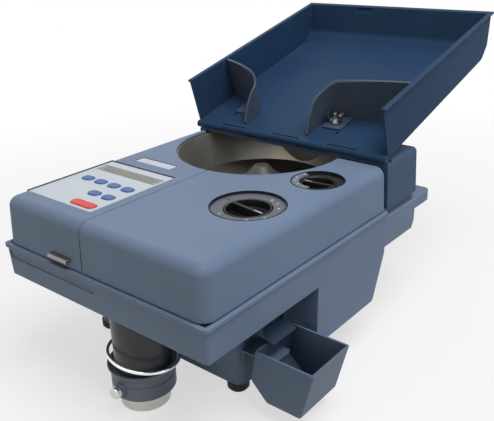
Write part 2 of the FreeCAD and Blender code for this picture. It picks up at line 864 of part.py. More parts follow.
def gate(side):
    # upright fence: a tail towards the hopper, a rounded bend and a wing that slants back to the side wall
    inner = gate_lines()[0 if side < 0 else 1]
    reach = abs(tray_x(tray_wall + 0.2)[0 if side < 0 else 1] - inner)
    base = tray_floor_top
    slant = math.radians(left_gate_slant if side < 0 else right_gate_slant)

    def sheet(shift):
        # corners of one face of the fence, distances out from the tail and back from the hinge
        bend = gate_bend_r - shift
        centre = (gate_bend_r, gate_wing_s - gate_bend_r)
        first = math.pi
        last = math.pi / 2 + slant
        arc = [(centre[0] + bend * math.cos(turn), centre[1] + bend * math.sin(turn))
               for turn in (first, (first + last) / 2, last)]
        run = reach - arc[2][0]
        return [(shift, gate_front_s)] + arc + [(reach, arc[2][1] + run * math.tan(slant))]

    def place(point):
        return V(inner + side * point[0], point[1], base)

    out = [place(point) for point in sheet(0)]
    back = [place(point) for point in sheet(gate_wall)]
    edges = [Part.LineSegment(out[0], out[1]).toShape(), Part.Arc(out[1], out[2], out[3]).toShape(),
             Part.LineSegment(out[3], out[4]).toShape(), Part.LineSegment(out[4], back[4]).toShape(),
             Part.LineSegment(back[4], back[3]).toShape(), Part.Arc(back[3], back[2], back[1]).toShape(),
             Part.LineSegment(back[1], back[0]).toShape(), Part.LineSegment(back[0], out[0]).toShape()]
    fence = Part.Face(Part.Wire(edges)).extrude(V(0, 0, gate_height + 1))
    top = base + gate_height
    falling = [(gate_front_s - 1, base + 1)] + [(gate_front_s + run, base + rise) for run, rise in gate_fall]
    falling += [(gate_wing_s + 2, top), (gate_wing_s + 80, top), (gate_wing_s + 80, top + 9),
                (gate_front_s - 1, top + 9)]
    x0, x1 = sorted((inner - side, inner + side * (reach + 1)))
    fence = fence.cut(prism("x", falling, x0, x1, [0, *gate_fall_radii, 0, 0, 0]))
    x0, x1 = sorted((inner + side * gate_bend_r * 0.35, inner + side * (stud_beyond_gate + gate_foot_reach)))
    foot_plan = rect(x0, x1, stud_s - gate_foot_reach, gate_wing_s)
    foot = prism("z", foot_plan, base, base + gate_wall, [3, 3, 0, 0])
    far = V(out[4].x, out[0].y, base)
    closing = [Part.LineSegment(out[4], far).toShape(), Part.LineSegment(far, out[0]).toShape()]
    behind_fence = Part.Face(Part.Wire(edges[:3] + closing))
    foot = foot.common(behind_fence.extrude(V(0, 0, gate_wall)))
    x, s = stud_places()[0 if side < 0 else 1]
    hole = rod(stud_r, (x, s, base - 1), (x, s, base + gate_wall + 1))
    return joined([fence, foot]).cut(hole)


def gate_studs():
    # the left gate is riveted flush with its foot; the right one has a tall stud for the wing nut
    low = tray_floor_top - tray_wall
    studs = []
    for (x, s), rise in zip(stud_places(), (gate_wall, stud_height)):
        head = rod(stud_r + 2, (x, s, low - 2), (x, s, low))
        studs.append(joined([head, rod(stud_r, (x, s, low), (x, s, tray_floor_top + rise))]))
    return Part.makeCompound(studs)


def wing_nut(place):
    x, s = place
    low = tray_floor_top + gate_wall + 0.2
    top = low + wing_nut_height
    collar = wing_nut_r + 1
    hub = turned([(0, low), (collar, low), (collar, low + 1.2), (wing_nut_r - 1, top), (0, top)], place)
    wing = [(x - wing_span / 2, low + wing_rise), (x - wing_span / 2 + 3, low + wing_rise + 1.5),
            (x - wing_nut_r + 1.5, low + 2.2), (x + wing_nut_r - 1.5, low + 2.2),
            (x + wing_span / 2 - 3, low + wing_rise + 1.5), (x + wing_span / 2, low + wing_rise),
            (x + wing_nut_r + 0.5, low + 0.2), (x - wing_nut_r - 0.5, low + 0.2)]
    wings = prism("y", wing, s - 3.5, s + 3.5)
    over = low + wing_rise + 9
    slot = prism("y", [(x - wing_span / 2 + wing_thick, over), (x - wing_nut_r, top), (x + wing_nut_r, top),
                       (x + wing_span / 2 - wing_thick, over)], s - 4, s + 4)
    nut = joined([hub, wings.cut(slot)])
    return nut.cut(rod(stud_r + pin_fit, (x, s, low - 1), (x, s, low + 40)))


parts["coin_tray"] = tilted(coin_tray())
parts["left_gate"] = tilted(gate(-1))
parts["right_gate"] = tilted(gate(1))
parts["gate_studs"] = tilted(gate_studs())
parts["right_wing_nut"] = tilted(wing_nut(stud_places()[1]))


# Hopper bowl, deck and rotating disc

def track_angle():
    # the coin track leaves the disc along a tangent that ends over the spout
    dx = spout_x - hopper_x
    dy = spout_y - hopper_y
    return math.degrees(math.atan2(dy, dx) + math.acos(track_r / math.hypot(dx, dy)))


def on_track(shape):
    shape = shape.copy()
    shape.rotate(V(0, 0, 0), V(0, 0, 1), track_angle())
    shape.translate(V(hopper_x, hopper_y, 0))
    return shape


def track_point(x, y):
    turn = math.radians(track_angle())
    dx = x - hopper_x
    dy = y - hopper_y
    return dx * math.cos(turn) + dy * math.sin(turn), dy * math.cos(turn) - dx * math.sin(turn)


gate_v = -(disc_r + gate_beyond_disc)
track_end_v = track_point(spout_x, spout_y)[1] + spout_r + track_short
track_left = track_r - track_gap / 2
track_right = track_r + track_gap / 2
rail_v = (track_end_v + rail_from_end, gate_v - rail_before_gate)
roller_v = (track_end_v + roller_from_end, gate_v - roller_before_gate)
roller_z = disc_top + coin_room + belt_thick + roller_r


def deck_plate():
    x0, x1, y0, y1 = pan_rect(lip_height, wall + plain_fit)
    low = deck_top - deck_thick
    rear_half = pan_rect(lip_height, 0)[1] - recess_depth - wall - plain_fit
    rear = block_rear - 1 - wall - plain_fit
    deck = joined([box(x0 + 1, x1 - 1, y0 + 1, cover_rear - 2, low, deck_top),
                   box(-rear_half, rear_half, cover_rear - 3, rear, low, deck_top)])
    cuts = [rod(bearing_r - 4, (hopper_x, hopper_y, 0), (hopper_x, hopper_y, lip_height)),
            rod(spout_r + plain_fit, (spout_x, spout_y, 0), (spout_x, spout_y, lip_height)),
            on_track(offsort_slot())]
    for x, y, radius in dial_places():
        cuts.append(rod(roller_shaft_r + pin_fit, (x, y, 0), (x, y, lip_height)))
    return deck.cut(joined(cuts))


def offsort_slot():
    middle_y = chute_front + chute_width / 2
    v = track_point(spout_x, middle_y)[1]
    return box(track_left + 7, track_left + 13, v - 17, v + 17, 0, disc_top + 1)


def hopper_bowl():
    ring_in = disc_r + bowl_clear
    top_in = hopper_r - 1
    ring_top = disc_top - 2
    section = [(ring_in, deck_top), (ring_in + bowl_ring, deck_top), (ring_in + bowl_ring, deck_top + 2.5),
               (ring_in + bowl_wall + 1, ring_top), (top_in + bowl_wall, bowl_top()), (top_in, bowl_top()),
               (ring_in, ring_top)]
    bowl = turned(section, (hopper_x, hopper_y))
    clip = block_rear - wall - bowl_rear_gap
    bowl = bowl.cut(box(left, right, clip, clip + hopper_r, 0, cover_top))
    chord = math.sqrt(top_in ** 2 - (clip - hopper_y) ** 2)
    back = box(hopper_x - chord, hopper_x + chord, clip - bowl_wall, clip, disc_top, bowl_top())
    mouth = turned([(0, 0), (ring_in, 0), (ring_in, ring_top), (top_in - 4, bowl_top()), (0, bowl_top())],
                   (hopper_x, hopper_y))
    back = back.cut(mouth.common(box(left, right, 0, clip - bowl_wall, 0, cover_top)))
    window = box(track_left - 3, ring_in + bowl_ring * 2, -110, -20, disc_top - 1, disc_top + 5)
    return joined([bowl, back]).cut(on_track(window))


def feed_disc():
    low = disc_top - disc_thick
    bore = shaft_r + pin_fit
    section = [(bore, low), (disc_r - 1, low), (disc_r, disc_top - 1), (disc_r, disc_top), (bore, disc_top)]
    disc = turned(section, (hopper_x, hopper_y))
    pads = []
    for index in range(pad_count):
        pad = prism("z", rect(cone_r + 8, disc_r - 16, -2.5, 2.5), disc_top - 0.5, disc_top + 1.2, 2.4)
        pad.rotate(V(0, 0, 0), V(0, 0, 1), index * 360.0 / pad_count)
        pad.translate(V(hopper_x, hopper_y, 0))
        pads.append(pad)
    return joined([disc] + pads)


def disc_cone():
    tip = disc_top + cone_height
    section = [(0, disc_top), (cone_r, disc_top), (cone_r - 1, disc_top + 2.5),
               (cone_r * 0.55, disc_top + cone_height * 0.55), (cone_r * 0.3, tip), (0, tip)]
    return turned(section, (hopper_x, hopper_y), [0, 0, 1.5, 18, 4, 0])


def pulley_low():
    return deck_top - deck_thick - pulley_drop - pulley_width


def pulley(radius, bore, low, centre):
    section = [(bore, low), (radius + 2, low), (radius + 2, low + 1), (radius, low + 2),
               (radius, low + pulley_width - 2), (radius + 2, low + pulley_width - 1),
               (radius + 2, low + pulley_width), (bore, low + pulley_width)]
    return turned(section, centre)


def disc_shaft():
    low = pulley_low()
    body = rod(shaft_r, (hopper_x, hopper_y, low - 8), (hopper_x, hopper_y, disc_top))
    return joined([body, pulley(disc_pulley_r, shaft_r - 1, low, (hopper_x, hopper_y))])


def disc_bearing():
    under = deck_top - deck_thick
    bore = shaft_r + pin_fit
    neck = bearing_r - 4
    section = [(bore, under - 2), (bearing_r, under - 2), (bearing_r, under), (neck, under),
               (neck, deck_top + 3), (bore, deck_top + 3)]
    return turned(section, (hopper_x, hopper_y))


def drive_belt():
    # open belt: two wraps joined by the outer tangents
    motor = V(hopper_x + motor_dx, motor_y, 0)
    disc = V(hopper_x, hopper_y, 0)
    low = pulley_low() + 2.3
    high = pulley_low() + pulley_width - 2.3
    def band(grow):
        big = disc_pulley_r + plain_fit + grow
        small = motor_pulley_r + plain_fit + grow
        along = motor - disc
        span = along.Length
        heading = math.atan2(along.y, along.x)
        lean = math.acos((big - small) / span)
        def at(centre, radius, turn):
            return centre + V(radius * math.cos(heading + turn), radius * math.sin(heading + turn), low)
        edges = [Part.LineSegment(at(disc, big, lean), at(motor, small, lean)).toShape(),
                 Part.Arc(at(motor, small, lean), at(motor, small, 0), at(motor, small, -lean)).toShape(),
                 Part.LineSegment(at(motor, small, -lean), at(disc, big, -lean)).toShape(),
                 Part.Arc(at(disc, big, -lean), at(disc, big, math.pi), at(disc, big, lean)).toShape()]
        return Part.Face(Part.Wire(edges)).extrude(V(0, 0, high - low))
    return band(belt_thick).cut(band(0))


def disc_motor():
    centre = (hopper_x + motor_dx, motor_y)
    top = pulley_low() - 5
    section = [(motor_shaft_r + pin_fit, top), (motor_r - 8, top), (motor_r - 8, top - 3), (motor_r, top - 3),
               (motor_r, top - motor_length + 3), (motor_r - 3, top - motor_length), (0, top - motor_length),
               (0, top - 12), (motor_shaft_r + pin_fit, top - 12)]
    can = turned(section, centre)
    posts = []
    for index in range(3):
        turn = math.radians(index * 120 + 60)
        x = centre[0] + (motor_r - 4) * math.cos(turn)
        y = centre[1] + (motor_r - 4) * math.sin(turn)
        posts.append(rod(3, (x, y, top - 4), (x, y, deck_top - deck_thick)))
    return joined([can] + posts)


def motor_pulley():
    centre = (hopper_x + motor_dx, motor_y)
    low = pulley_low()
    shaft = rod(motor_shaft_r, (*centre, low - 14), (*centre, low + pulley_width))
    return joined([shaft, pulley(motor_pulley_r, motor_shaft_r - 1, low, centre)])


parts["deck_plate"] = deck_plate()
parts["hopper_bowl"] = hopper_bowl()
parts["feed_disc"] = feed_disc()
parts["disc_cone"] = disc_cone()
parts["disc_shaft"] = disc_shaft()
parts["disc_bearing"] = disc_bearing()
parts["drive_belt"] = drive_belt()
parts["disc_motor"] = disc_motor()
parts["motor_pulley"] = motor_pulley()


# Coin track: bed, sliding rail with its rack and pinion, feed belt and counting sensor

def rack_point():
    return track_point(hopper_x + diameter_dial_dx, diameter_dial_y)


def coin_track():
    outer = track_left - fence_thick
    bed = box(outer, track_right + bed_beyond_rail, track_end_v, -bed_reach, deck_top, disc_top)
    fence = box(outer, track_left, track_end_v, gate_v - fence_before_gate, disc_top, disc_top + fence_height)
    ring = disc_r + bowl_clear + bowl_ring + plain_fit
    u, v = rack_point()
    pinion_room = rod(gear_module * (gear_teeth / 2 + 2), (u, v, 0), (u, v, cover_top))
    bush_u, bush_v = track_point(*dial_places()[1][:2])
    bush_room = rod(gate_bush_r + plain_fit, (bush_u, bush_v, 0), (bush_u, bush_v, cover_top))
    rooms = joined([rod(ring, (0, 0, 0), (0, 0, cover_top)), pinion_room, bush_room])
    bed = joined([bed, fence]).cut(rooms)
    return on_track(bed.cut(offsort_slot()))


def rack_profile(pitch_v, u0, u1, u_mesh, back):
    # straight rack whose teeth point towards the pinion; a tooth space faces the pinion's tooth at u_mesh
    pitch = math.pi * gear_module
    lean = gear_module * math.tan(math.radians(20))
    slack = 0.12
    points = [(u0, pitch_v + back)]
    root = pitch_v + 1.25 * gear_module
    tip = pitch_v - 0.9 * gear_module
    first = math.ceil((u0 + pitch - u_mesh) / pitch)
    last = math.floor((u1 - pitch - u_mesh) / pitch)
    points.append((u0, root))
    for index in range(first, last):
        middle = u_mesh + (index + 0.5) * pitch
        half = pitch / 4 - slack
        points += [(middle - half - 1.25 * lean, root), (middle - half + 0.9 * lean, tip),
                   (middle + half - 0.9 * lean, tip), (middle + half + 1.25 * lean, root)]
    points += [(u1, root), (u1, pitch_v + back)]
    return points


def pinion(u, v, low, high):
    pitch_r = gear_module * gear_teeth / 2
    base_r = pitch_r * math.cos(math.radians(20))
    tip_r = pitch_r + 0.9 * gear_module
    root_r = pitch_r - 1.25 * gear_module
    slack = 0.12 / pitch_r
    inv = lambda angle: math.tan(angle) - angle
    half = math.pi / (2 * gear_teeth) - slack + inv(math.radians(20))
    flank = []
    for step in range(4):
        radius = base_r + (tip_r - base_r) * step / 3
        flank.append((radius, half - inv(math.acos(base_r / radius))))
    points = []
    for tooth in range(gear_teeth):
        centre = math.pi / 2 + tooth * 2 * math.pi / gear_teeth
        rising = [(root_r, -half)] + [(radius, -turn) for radius, turn in flank]
        falling = [(radius, turn) for radius, turn in reversed(flank)] + [(root_r, half)]
        points += [(u + radius * math.cos(centre + turn), v + radius * math.sin(centre + turn))
                   for radius, turn in rising + falling]
    return prism("z", points, low, high)


def sliding_rail():
    u, v = rack_point()
    low = disc_top + 0.2
    plate = box(track_right, track_right + 16, rail_v[0], rail_v[1], low, low + rail_thick)
    pitch_v = v + gear_module * gear_teeth / 2
    reach = u + rail_travel + 14
    rack = prism("z", rack_profile(pitch_v, track_right + 10, reach, u, 7.0), low, low + 5)
    return on_track(joined([plate, rack]))


def knob(x, y, radius, shaft_low):
    # open cup with a grip fin across it, on a stem that runs down to the deck
    top = cover_top - wall
    floor = top - knob_depth
    inner = radius - knob_wall
    section = [(0, floor - 3), (radius - 1, floor - 3), (radius, floor - 2), (radius, top - 1),
               (radius - 0.5, top - 0.4), (inner, top - 0.4), (inner - 1, floor + 1), (inner - 2, floor),
               (0, floor)]
    body = turned(section, (x, y))
    half = fin_thick / 2
    fin = prism("y", [(x - half - 1, floor - 1), (x + half + 1, floor - 1), (x + half, top), (x - half, top)],
                y - inner + 0.2, y + inner - 0.2, [0, 0, 0.8, 0.8])
    fin = fin.common(rod(inner + 0.4, (x, y, 0), (x, y, cover_top)))
    stem = rod(roller_shaft_r, (x, y, shaft_low), (x, y, floor - 2))
    return joined([body, fin, stem])


def turned_about(shape, x, y, angle):
    shape = shape.copy()
    shape.rotate(V(x, y, 0), V(0, 0, 1), angle)
    return shape


def diameter_knob():
    x, y, radius = dial_places()[0]
    u, v = rack_point()
    low = disc_top + 0.2
    body = turned_about(knob(x, y, diameter_knob_r, deck_top - deck_thick), x, y, diameter_knob_turn)
    return joined([body, on_track(pinion(u, v, low, low + 5))])


def dial_ring(x, y, hole_r, knob_r):
    top = cover_top - wall - dial_fit
    edge = hole_r + dial_lap
    bore = knob_r + knob_clear
    section = [(bore, top - 4), (knob_r + 3, top - 4), (knob_r + 3, top - 2.4), (edge, top - 2.4),
               (edge, top), (knob_r + 1.5, top), (bore, top - 0.8)]
    room = cover_form(wall + dial_fit, lip_height, cover_top - wall - dial_fit / 2, cover_edge - wall)
    return turned(section, (x, y)).common(room)


def thickness_knob():
    x, y, radius = dial_places()[1]
    return turned_about(knob(x, y, thickness_knob_r, deck_top - deck_thick), x, y, thickness_knob_turn)


def thickness_gate():
    x, y, radius = dial_places()[1]
    u, v = track_point(x, y)
    low = disc_top + gate_arm_lift
    arm_plan = [(u, v + 5), (track_r - 12, gate_v + 5), (track_r - 12, gate_v - 5), (u, v - 5)]
    arm = prism("z", arm_plan, low, low + 5)
    tip = box(track_r - 12, track_r + 12, gate_v - 5, gate_v + 5, disc_top + 2.5, low + 5)
    hub = rod(8, (u, v, low - 5), (u, v, low + 9))
    bore = rod(roller_shaft_r + pin_fit, (u, v, low - 10), (u, v, low + 20))
    return on_track(joined([arm, tip, hub]).cut(bore))


def gate_collar():
    # bush on the deck that steadies the thickness screw under the gate
    x, y, radius = dial_places()[1]
    section = [(roller_shaft_r + pin_fit, deck_top), (gate_bush_r, deck_top), (gate_bush_r, deck_top + 3),
               (6, deck_top + 4),
               (6, disc_top + 6), (roller_shaft_r + pin_fit, disc_top + 6)]
    return turned(section, (x, y))


def feed_bracket():
    outer = track_left - fence_thick
    low = disc_top + fence_height
    high = roller_z + bracket_over_roller
    start = track_end_v + bracket_from_end
    end = gate_v - fence_before_gate
    side = [(start, low), (end, low), (end - bracket_slant, high), (start + bracket_slant, high)]
    plate = prism("x", side, outer, outer + 4, [0, 0, 4, 4])
    bore = roller_shaft_r + pin_fit
    holes = [rod(bore, (outer - 1, v, roller_z), (outer + 5, v, roller_z)) for v in roller_v]
    return on_track(plate.cut(joined(holes)))


def feed_motor():
    face = track_left - fence_thick
    v = roller_v[0]
    can = rod(feed_motor_r, (face - feed_motor_length, v, roller_z), (face, v, roller_z))
    shaft = rod(roller_shaft_r + pin_fit, (face - 14, v, roller_z), (face, v, roller_z))
    return on_track(can.cut(shaft))


def roller(v, shaft_start):
    start = track_r - roller_width / 2
    body = rod(roller_r, (start, v, roller_z), (start + roller_width, v, roller_z))
    flanges = [rod(roller_r + 1.2, (u, v, roller_z), (u + 1, v, roller_z))
               for u in (start - 1, start + roller_width)]
    shaft = rod(roller_shaft_r, (shaft_start, v, roller_z), (start, v, roller_z))
    return on_track(joined([body, shaft] + flanges))


def feed_belt():
    def loop(grow):
        radius = roller_r + plain_fit + grow
        points = rect(roller_v[0] - radius, roller_v[1] + radius, roller_z - radius, roller_z + radius)
        width = track_r - roller_width / 2 + 0.5, track_r + roller_width / 2 - 0.5
        return prism("x", points, *width, radius - 0.01)
    return on_track(loop(belt_thick - 0.5).cut(loop(0)))


def count_sensor():
    v = (track_end_v + 2, track_end_v + 10)
    posts = [box(u, u + 4, *v, disc_top, disc_top + 12) for u in (track_left + 1, track_right + 5)]
    bridge = prism("y", rect(track_left + 1, track_right + 9, disc_top + 9, disc_top + 18), *v, [0, 0, 2, 2])
    return on_track(joined(posts + [bridge]))


parts["coin_track"] = coin_track()
parts["sliding_rail"] = sliding_rail()
parts["diameter_knob"] = diameter_knob()
parts["diameter_dial_ring"] = dial_ring(*dial_places()[0], diameter_knob_r)
parts["thickness_knob"] = thickness_knob()
parts["thickness_dial_ring"] = dial_ring(*dial_places()[1], thickness_knob_r)
parts["thickness_gate"] = thickness_gate()
parts["gate_bush"] = gate_collar()
parts["feed_bracket"] = feed_bracket()
parts["feed_motor"] = feed_motor()
parts["front_roller"] = roller(roller_v[0], track_left - fence_thick - feed_shaft_depth)
parts["rear_roller"] = roller(roller_v[1], track_left - fence_thick)
parts["feed_belt"] = feed_belt()
parts["count_sensor"] = count_sensor()


# Spout with its collar, steel outlet, bag ring and clamp screw

def spout_tube():
    low = collar_low + collar_height - 6
    flange_top = deck_top + 2
    section = [(spout_bore_r, low), (spout_r, low), (spout_r, deck_top), (spout_r + 4, deck_top),
               (spout_r + 4, flange_top), (spout_bore_r + 3, flange_top), (spout_bore_r, flange_top - 3)]
    return turned(section, (spout_x, spout_y))


def bag_collar():
    top = collar_low + collar_height
    groove = collar_low + collar_groove
    section = [(tube_r, collar_low), (collar_r - 1, collar_low), (collar_r, collar_low + 1),
               (collar_r, groove - 0.6), (collar_r - 0.8, groove), (collar_r, groove + 0.6),
               (collar_r, top - 5), (collar_dish_r, top - 1.5), (collar_dish_r, top),
               (collar_dish_r - 1.5, top), (spout_r, top - 4), (spout_r, top - 6), (tube_r, top - 6)]
    body = turned(section, (spout_x, spout_y))
    boss_end = collar_r + screw_boss_reach
    boss = rod(screw_head_r + 0.5, clamp_point(collar_r - 2), clamp_point(boss_end))
    hole = rod(screw_shank_r + pin_fit, clamp_point(tube_r + 0.5), clamp_point(boss_end + 1))
    return joined([body, boss]).cut(hole)


def clamp_point(distance):
    # point on the clamp screw's axis, at a distance from the spout's axis
    turn = math.radians(screw_turn)
    return spout_x + distance * math.cos(turn), spout_y + distance * math.sin(turn), screw_height


def outlet_tube():
    top = collar_low + collar_height - 6
    return tube(tube_r, tube_r - tube_wall, (spout_x, spout_y, tube_low), (spout_x, spout_y, top))


def bag_ring():
    rest = collar_low + collar_height + ring_wire_r + plain_fit
    ring = Part.makeTorus(ring_r, ring_wire_r)
    turn = math.radians(ring_lean_turn)
    ring.rotate(V(0, 0, 0), V(math.cos(turn), math.sin(turn), 0), ring_tilt)
    lift = ring_r * math.sin(math.radians(ring_tilt))
    ring.translate(V(spout_x + ring_shift_x, spout_y + ring_shift_y, rest + lift))
    return ring


def thumb_screw():
    seat = collar_r + screw_boss_reach + 0.3
    head = rod(screw_head_r, clamp_point(seat), clamp_point(seat + screw_head_length))
    rim = [e for e in head.Edges if len(e.Vertexes) == 1]
    head = head.makeChamfer(0.8, rim)
    shank = rod(screw_shank_r, clamp_point(tube_r + 0.8), clamp_point(seat + 1))
    return joined([head, shank])


parts["spout_tube"] = spout_tube()
parts["bag_collar"] = bag_collar()
parts["outlet_tube"] = outlet_tube()
parts["bag_ring"] = bag_ring()
parts["thumb_screw"] = thumb_screw()


# Off-sort chute, bin and the bracket that carries it

def offsort_chute():
    tip = right - box_right_inset + bin_gap + chute_overlap
    head = track_start_x()
    def slab(low, high):
        return [(head, chute_height(head) + low), (tip, chute_height(tip) + low),
                (tip, chute_height(tip) + high), (head, chute_height(head) + high)]
    y0 = chute_front
    y1 = chute_front + chute_width
    drop = chute_wall / math.cos(math.radians(chute_slope))
    plate = prism("y", slab(-drop, 0), y0, y1)
    inside = right - box_right_inset - wall
    walls = [prism("y", slab(-drop / 2, chute_side), a, a + chute_wall) for a in (y0, y1 - chute_wall)]
    walls = [w.cut(box(tip - 12, tip + 1, 0, box_rear, 0, lip_height)) for w in walls]
    stop = pan_bottom - chute_wall
    return joined([plate] + walls).cut(box(inside - 2, right + 60, 0, box_rear, stop, lip_height))


def track_start_x():
    return spout_x - 6


def bin_section(inset):
    # the hollow runs on above the rim along the same leaning walls
    x0 = right - box_right_inset + bin_gap
    x1 = x0 + bin_rim_width
    low = bin_rim_height - bin_height
    shoulder = low + bin_bevel
    over = 0 if inset == 0 else bin_height
    top = bin_rim_height + over
    left_over = bin_left_flare * over / (bin_rim_height - shoulder)
    right_over = bin_right_taper * over / bin_height
    return [(x0 + inset + left_over, top), (x0 - bin_left_flare + inset, shoulder),
            (x0 - bin_left_flare + bin_bevel + inset * 0.4, low + inset),
            (x1 - bin_right_taper - inset, low + inset), (x1 - inset + right_over, top)]


def bin_block():
    y0, y1 = bin_front, bin_front + bin_depth
    block = prism("y", bin_section(0), y0, y1, [0, 0, 3, 3, 0])
    rim = bin_rim_height - 0.01
    ends = [e for e in block.Edges
            if any(all(abs(v.Y - y) < 1e-4 for v in e.Vertexes) for y in (y0, y1))
            and min(v.Z for v in e.Vertexes) < rim]
    return block.makeFillet(bin_edge, ends)


def offsort_bin():
    hollow = prism("y", bin_section(bin_wall), bin_front + bin_wall, bin_front + bin_depth - bin_wall)
    body = bin_block().cut(hollow)
    slot_z = bin_rim_height - hanger_drop
    middle = bin_front + bin_depth / 2
    half = hanger_width / 2 + plain_fit
    x0 = right - box_right_inset + bin_gap - bin_left_flare
    slot_top = slot_z + hanger_thick + plain_fit
    return body.cut(box(x0 - 2, x0 + 15, middle - half, middle + half, slot_z - plain_fit, slot_top))


def bin_hanger():
    x0 = right - box_right_inset
    middle = bin_front + bin_depth / 2
    z = bin_rim_height - hanger_drop
    y0, y1 = middle - hanger_width / 2, middle + hanger_width / 2
    tongue = prism("z", rect(x0, x0 + bin_gap + hanger_reach, y0, y1), z, z + hanger_thick, [0, 4, 4, 0])
    flange = prism("x", rect(y0, y1, z - 18, z + hanger_thick), x0, x0 + hanger_thick, [3, 3, 0, 0])
    return joined([tongue, flange])


parts["offsort_chute"] = offsort_chute()
parts["offsort_bin"] = offsort_bin()
parts["bin_hanger"] = bin_hanger()


# Tray latch, power entry, supply and screws

def latch_tab():
    x0 = left + latch_left
    z = lip_height + latch_rise
    face = cover_set + cover_slope * latch_rise
    curl_y = face - latch_curl_r - latch_travel - 0.4
    strip = box(x0, x0 + latch_width, curl_y, face + 12, z, z + latch_thick)
    centre = z + latch_thick - latch_curl_r
    x1 = x0 + latch_width
    curl = tube(latch_curl_r, latch_curl_r - latch_thick, (x0, curl_y, centre), (x1, curl_y, centre))
    curl = curl.cut(box(x0 - 1, x1 + 1, curl_y, curl_y + 10, centre - 0.4, z))
    stop = box(x0 - 2, x0 + latch_width + 2, face + wall + latch_travel + 2, face + wall + latch_travel + 4,
               z, z + latch_thick)
    return joined([strip, curl, stop])


def power_inlet():
    x, length, height = power_entries()[0]
    y = box_rear - 1.5
    half_x = length / 2 - 0.2
    half_z = height / 2 - 0.2
    body = box(x - half_x, x + half_x, y - entry_depth, y + 2, power_height - half_z, power_height + half_z)
    frame = prism("y", rect(x - length / 2 - bezel, x + length / 2 + bezel, power_height - height / 2 - bezel,
                            power_height + height / 2 + bezel), y + 1.5, y + 4, 2)
    socket = prism("y", rect(x - length / 2 + 2, x + length / 2 - 2, power_height - height / 2 + 2,
                             power_height + height / 2 - 2), y - 16, y + 5, [4.5, 4.5, 0.6, 0.6])
    shell = joined([body, frame]).cut(socket)
    pins = [box(x + dx - 1, x + dx + 1, y - 17, y - 2, power_height + dz - 2, power_height + dz + 2)
            for dx, dz in ((-7, -2), (0, 2), (7, -2))]
    return joined([shell] + pins)


def power_frame():
    x, length, height = power_entries()[1]
    y = box_rear - 1.5
    z0, z1 = power_height - height / 2, power_height + height / 2
    body = box(x - length / 2 + 0.2, x + length / 2 - 0.2, y - entry_depth + 6, y + 2, z0 + 0.2, z1 - 0.2)
    frame = prism("y", rect(x - length / 2 - bezel, x + length / 2 + bezel, z0 - bezel, z1 + bezel),
                  y + 1.5, y + 4, 1)
    well = box(x - length / 2 + 1.4, x + length / 2 - 1.4, y - 9, y + 5, z0 + 1.4, z1 - 1.4)
    pin = rod(1.2, (x - length / 2 + 0.5, y - 3, power_height), (x + length / 2 - 0.5, y - 3, power_height))
    return joined([joined([body, frame]).cut(well), pin])


def power_switch():
    x, length, height = power_entries()[1]
    y = box_rear - 1.5
    half = height / 2 - 2.6
    side = [(y - 5, power_height - half + 1.2), (y + 3.5, power_height - half), (y + 2.6, power_height),
            (y + 3.5, power_height + half), (y - 5, power_height + half - 1.2)]
    body = prism("x", side, x - length / 2 + 1.7, x + length / 2 - 1.7)
    bore = rod(1.2 + pin_fit, (x - length, y - 3, power_height), (x + length, y - 3, power_height))
    rocker = body.cut(bore)
    rocker.rotate(V(x, y - 3, power_height), V(1, 0, 0), -rocker_tilt)
    return rocker


def power_supply():
    floor = box_floor + wall
    x0 = left + supply_from_left
    y0 = box_rear - supply_before_rear
    x1 = x0 + supply_length
    y1 = y0 + supply_depth
    tray = box(x0, x1, y0, y1, floor, floor + 1.5)
    posts = [rod(3, (x, y, floor), (x, y, floor + 8)) for x in (x0 + 6, x1 - 6) for y in (y0 + 6, y1 - 6)]
    board = box(x0, x1, y0, y1, floor + 8, floor + 9.6)
    core = prism("y", rect(x0 + 14, x0 + 62, floor + 9, floor + 50), y0 + 16, y0 + 62, 3)
    caps = [rod(8, (x0 + 82, y0 + 20 + step * 20, floor + 9), (x0 + 82, y0 + 20 + step * 20, floor + 36))
            for step in range(3)]
    return joined([tray, board, core] + posts + caps)


def housing_screws():
    screws = []
    for x, y, z in screw_places():
        head = turned([(0, 0), (screw_r, 0), (screw_r, 1), (screw_r - 1.2, 2.2), (0, 2.2)])
        cross = box(-screw_r, screw_r, -0.5, 0.5, 1.3, 3).fuse(box(-0.5, 0.5, -screw_r, screw_r, 1.3, 3))
        head = head.cut(cross)
        shank = rod(screw_shank_r / 2, (0, 0, -3 * wall + 1), (0, 0, 0.5))
        screw = joined([head, shank])
        screw.rotate(V(0, 0, 0), V(1, 0, 0), -90)
        screw.translate(V(x, y, z))
        screws.append(screw)
    return Part.makeCompound(screws)


parts["latch_tab"] = latch_tab()
parts["power_inlet"] = power_inlet()
parts["switch_frame"] = power_frame()
parts["power_switch"] = power_switch()
parts["power_supply"] = power_supply()
parts["housing_screws"] = housing_screws()


# Everything moved to the middle of its footprint

def footprint_centre():
    whole = Part.makeCompound(list(parts.values())).BoundBox
    return V(-(whole.XMin + whole.XMax) / 2, -(whole.YMin + whole.YMax) / 2, -whole.ZMin)


move = footprint_centre()
os.makedirs("parts", exist_ok=True)
for name, shape in parts.items():
    shape = shape.copy()
    shape.translate(move)
    shape.exportStep("parts/%s.step" % name)
    solids = len(shape.Solids)
    print("%-22s solids %d  volume %10.1f  valid %s" % (name, solids, shape.Volume, shape.isValid()))
print("moved by", move, "pieces", len(parts))
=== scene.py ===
import math
import bmesh
import bpy
from mathutils import Matrix, Vector
from mathutils.bvhtree import BVHTree


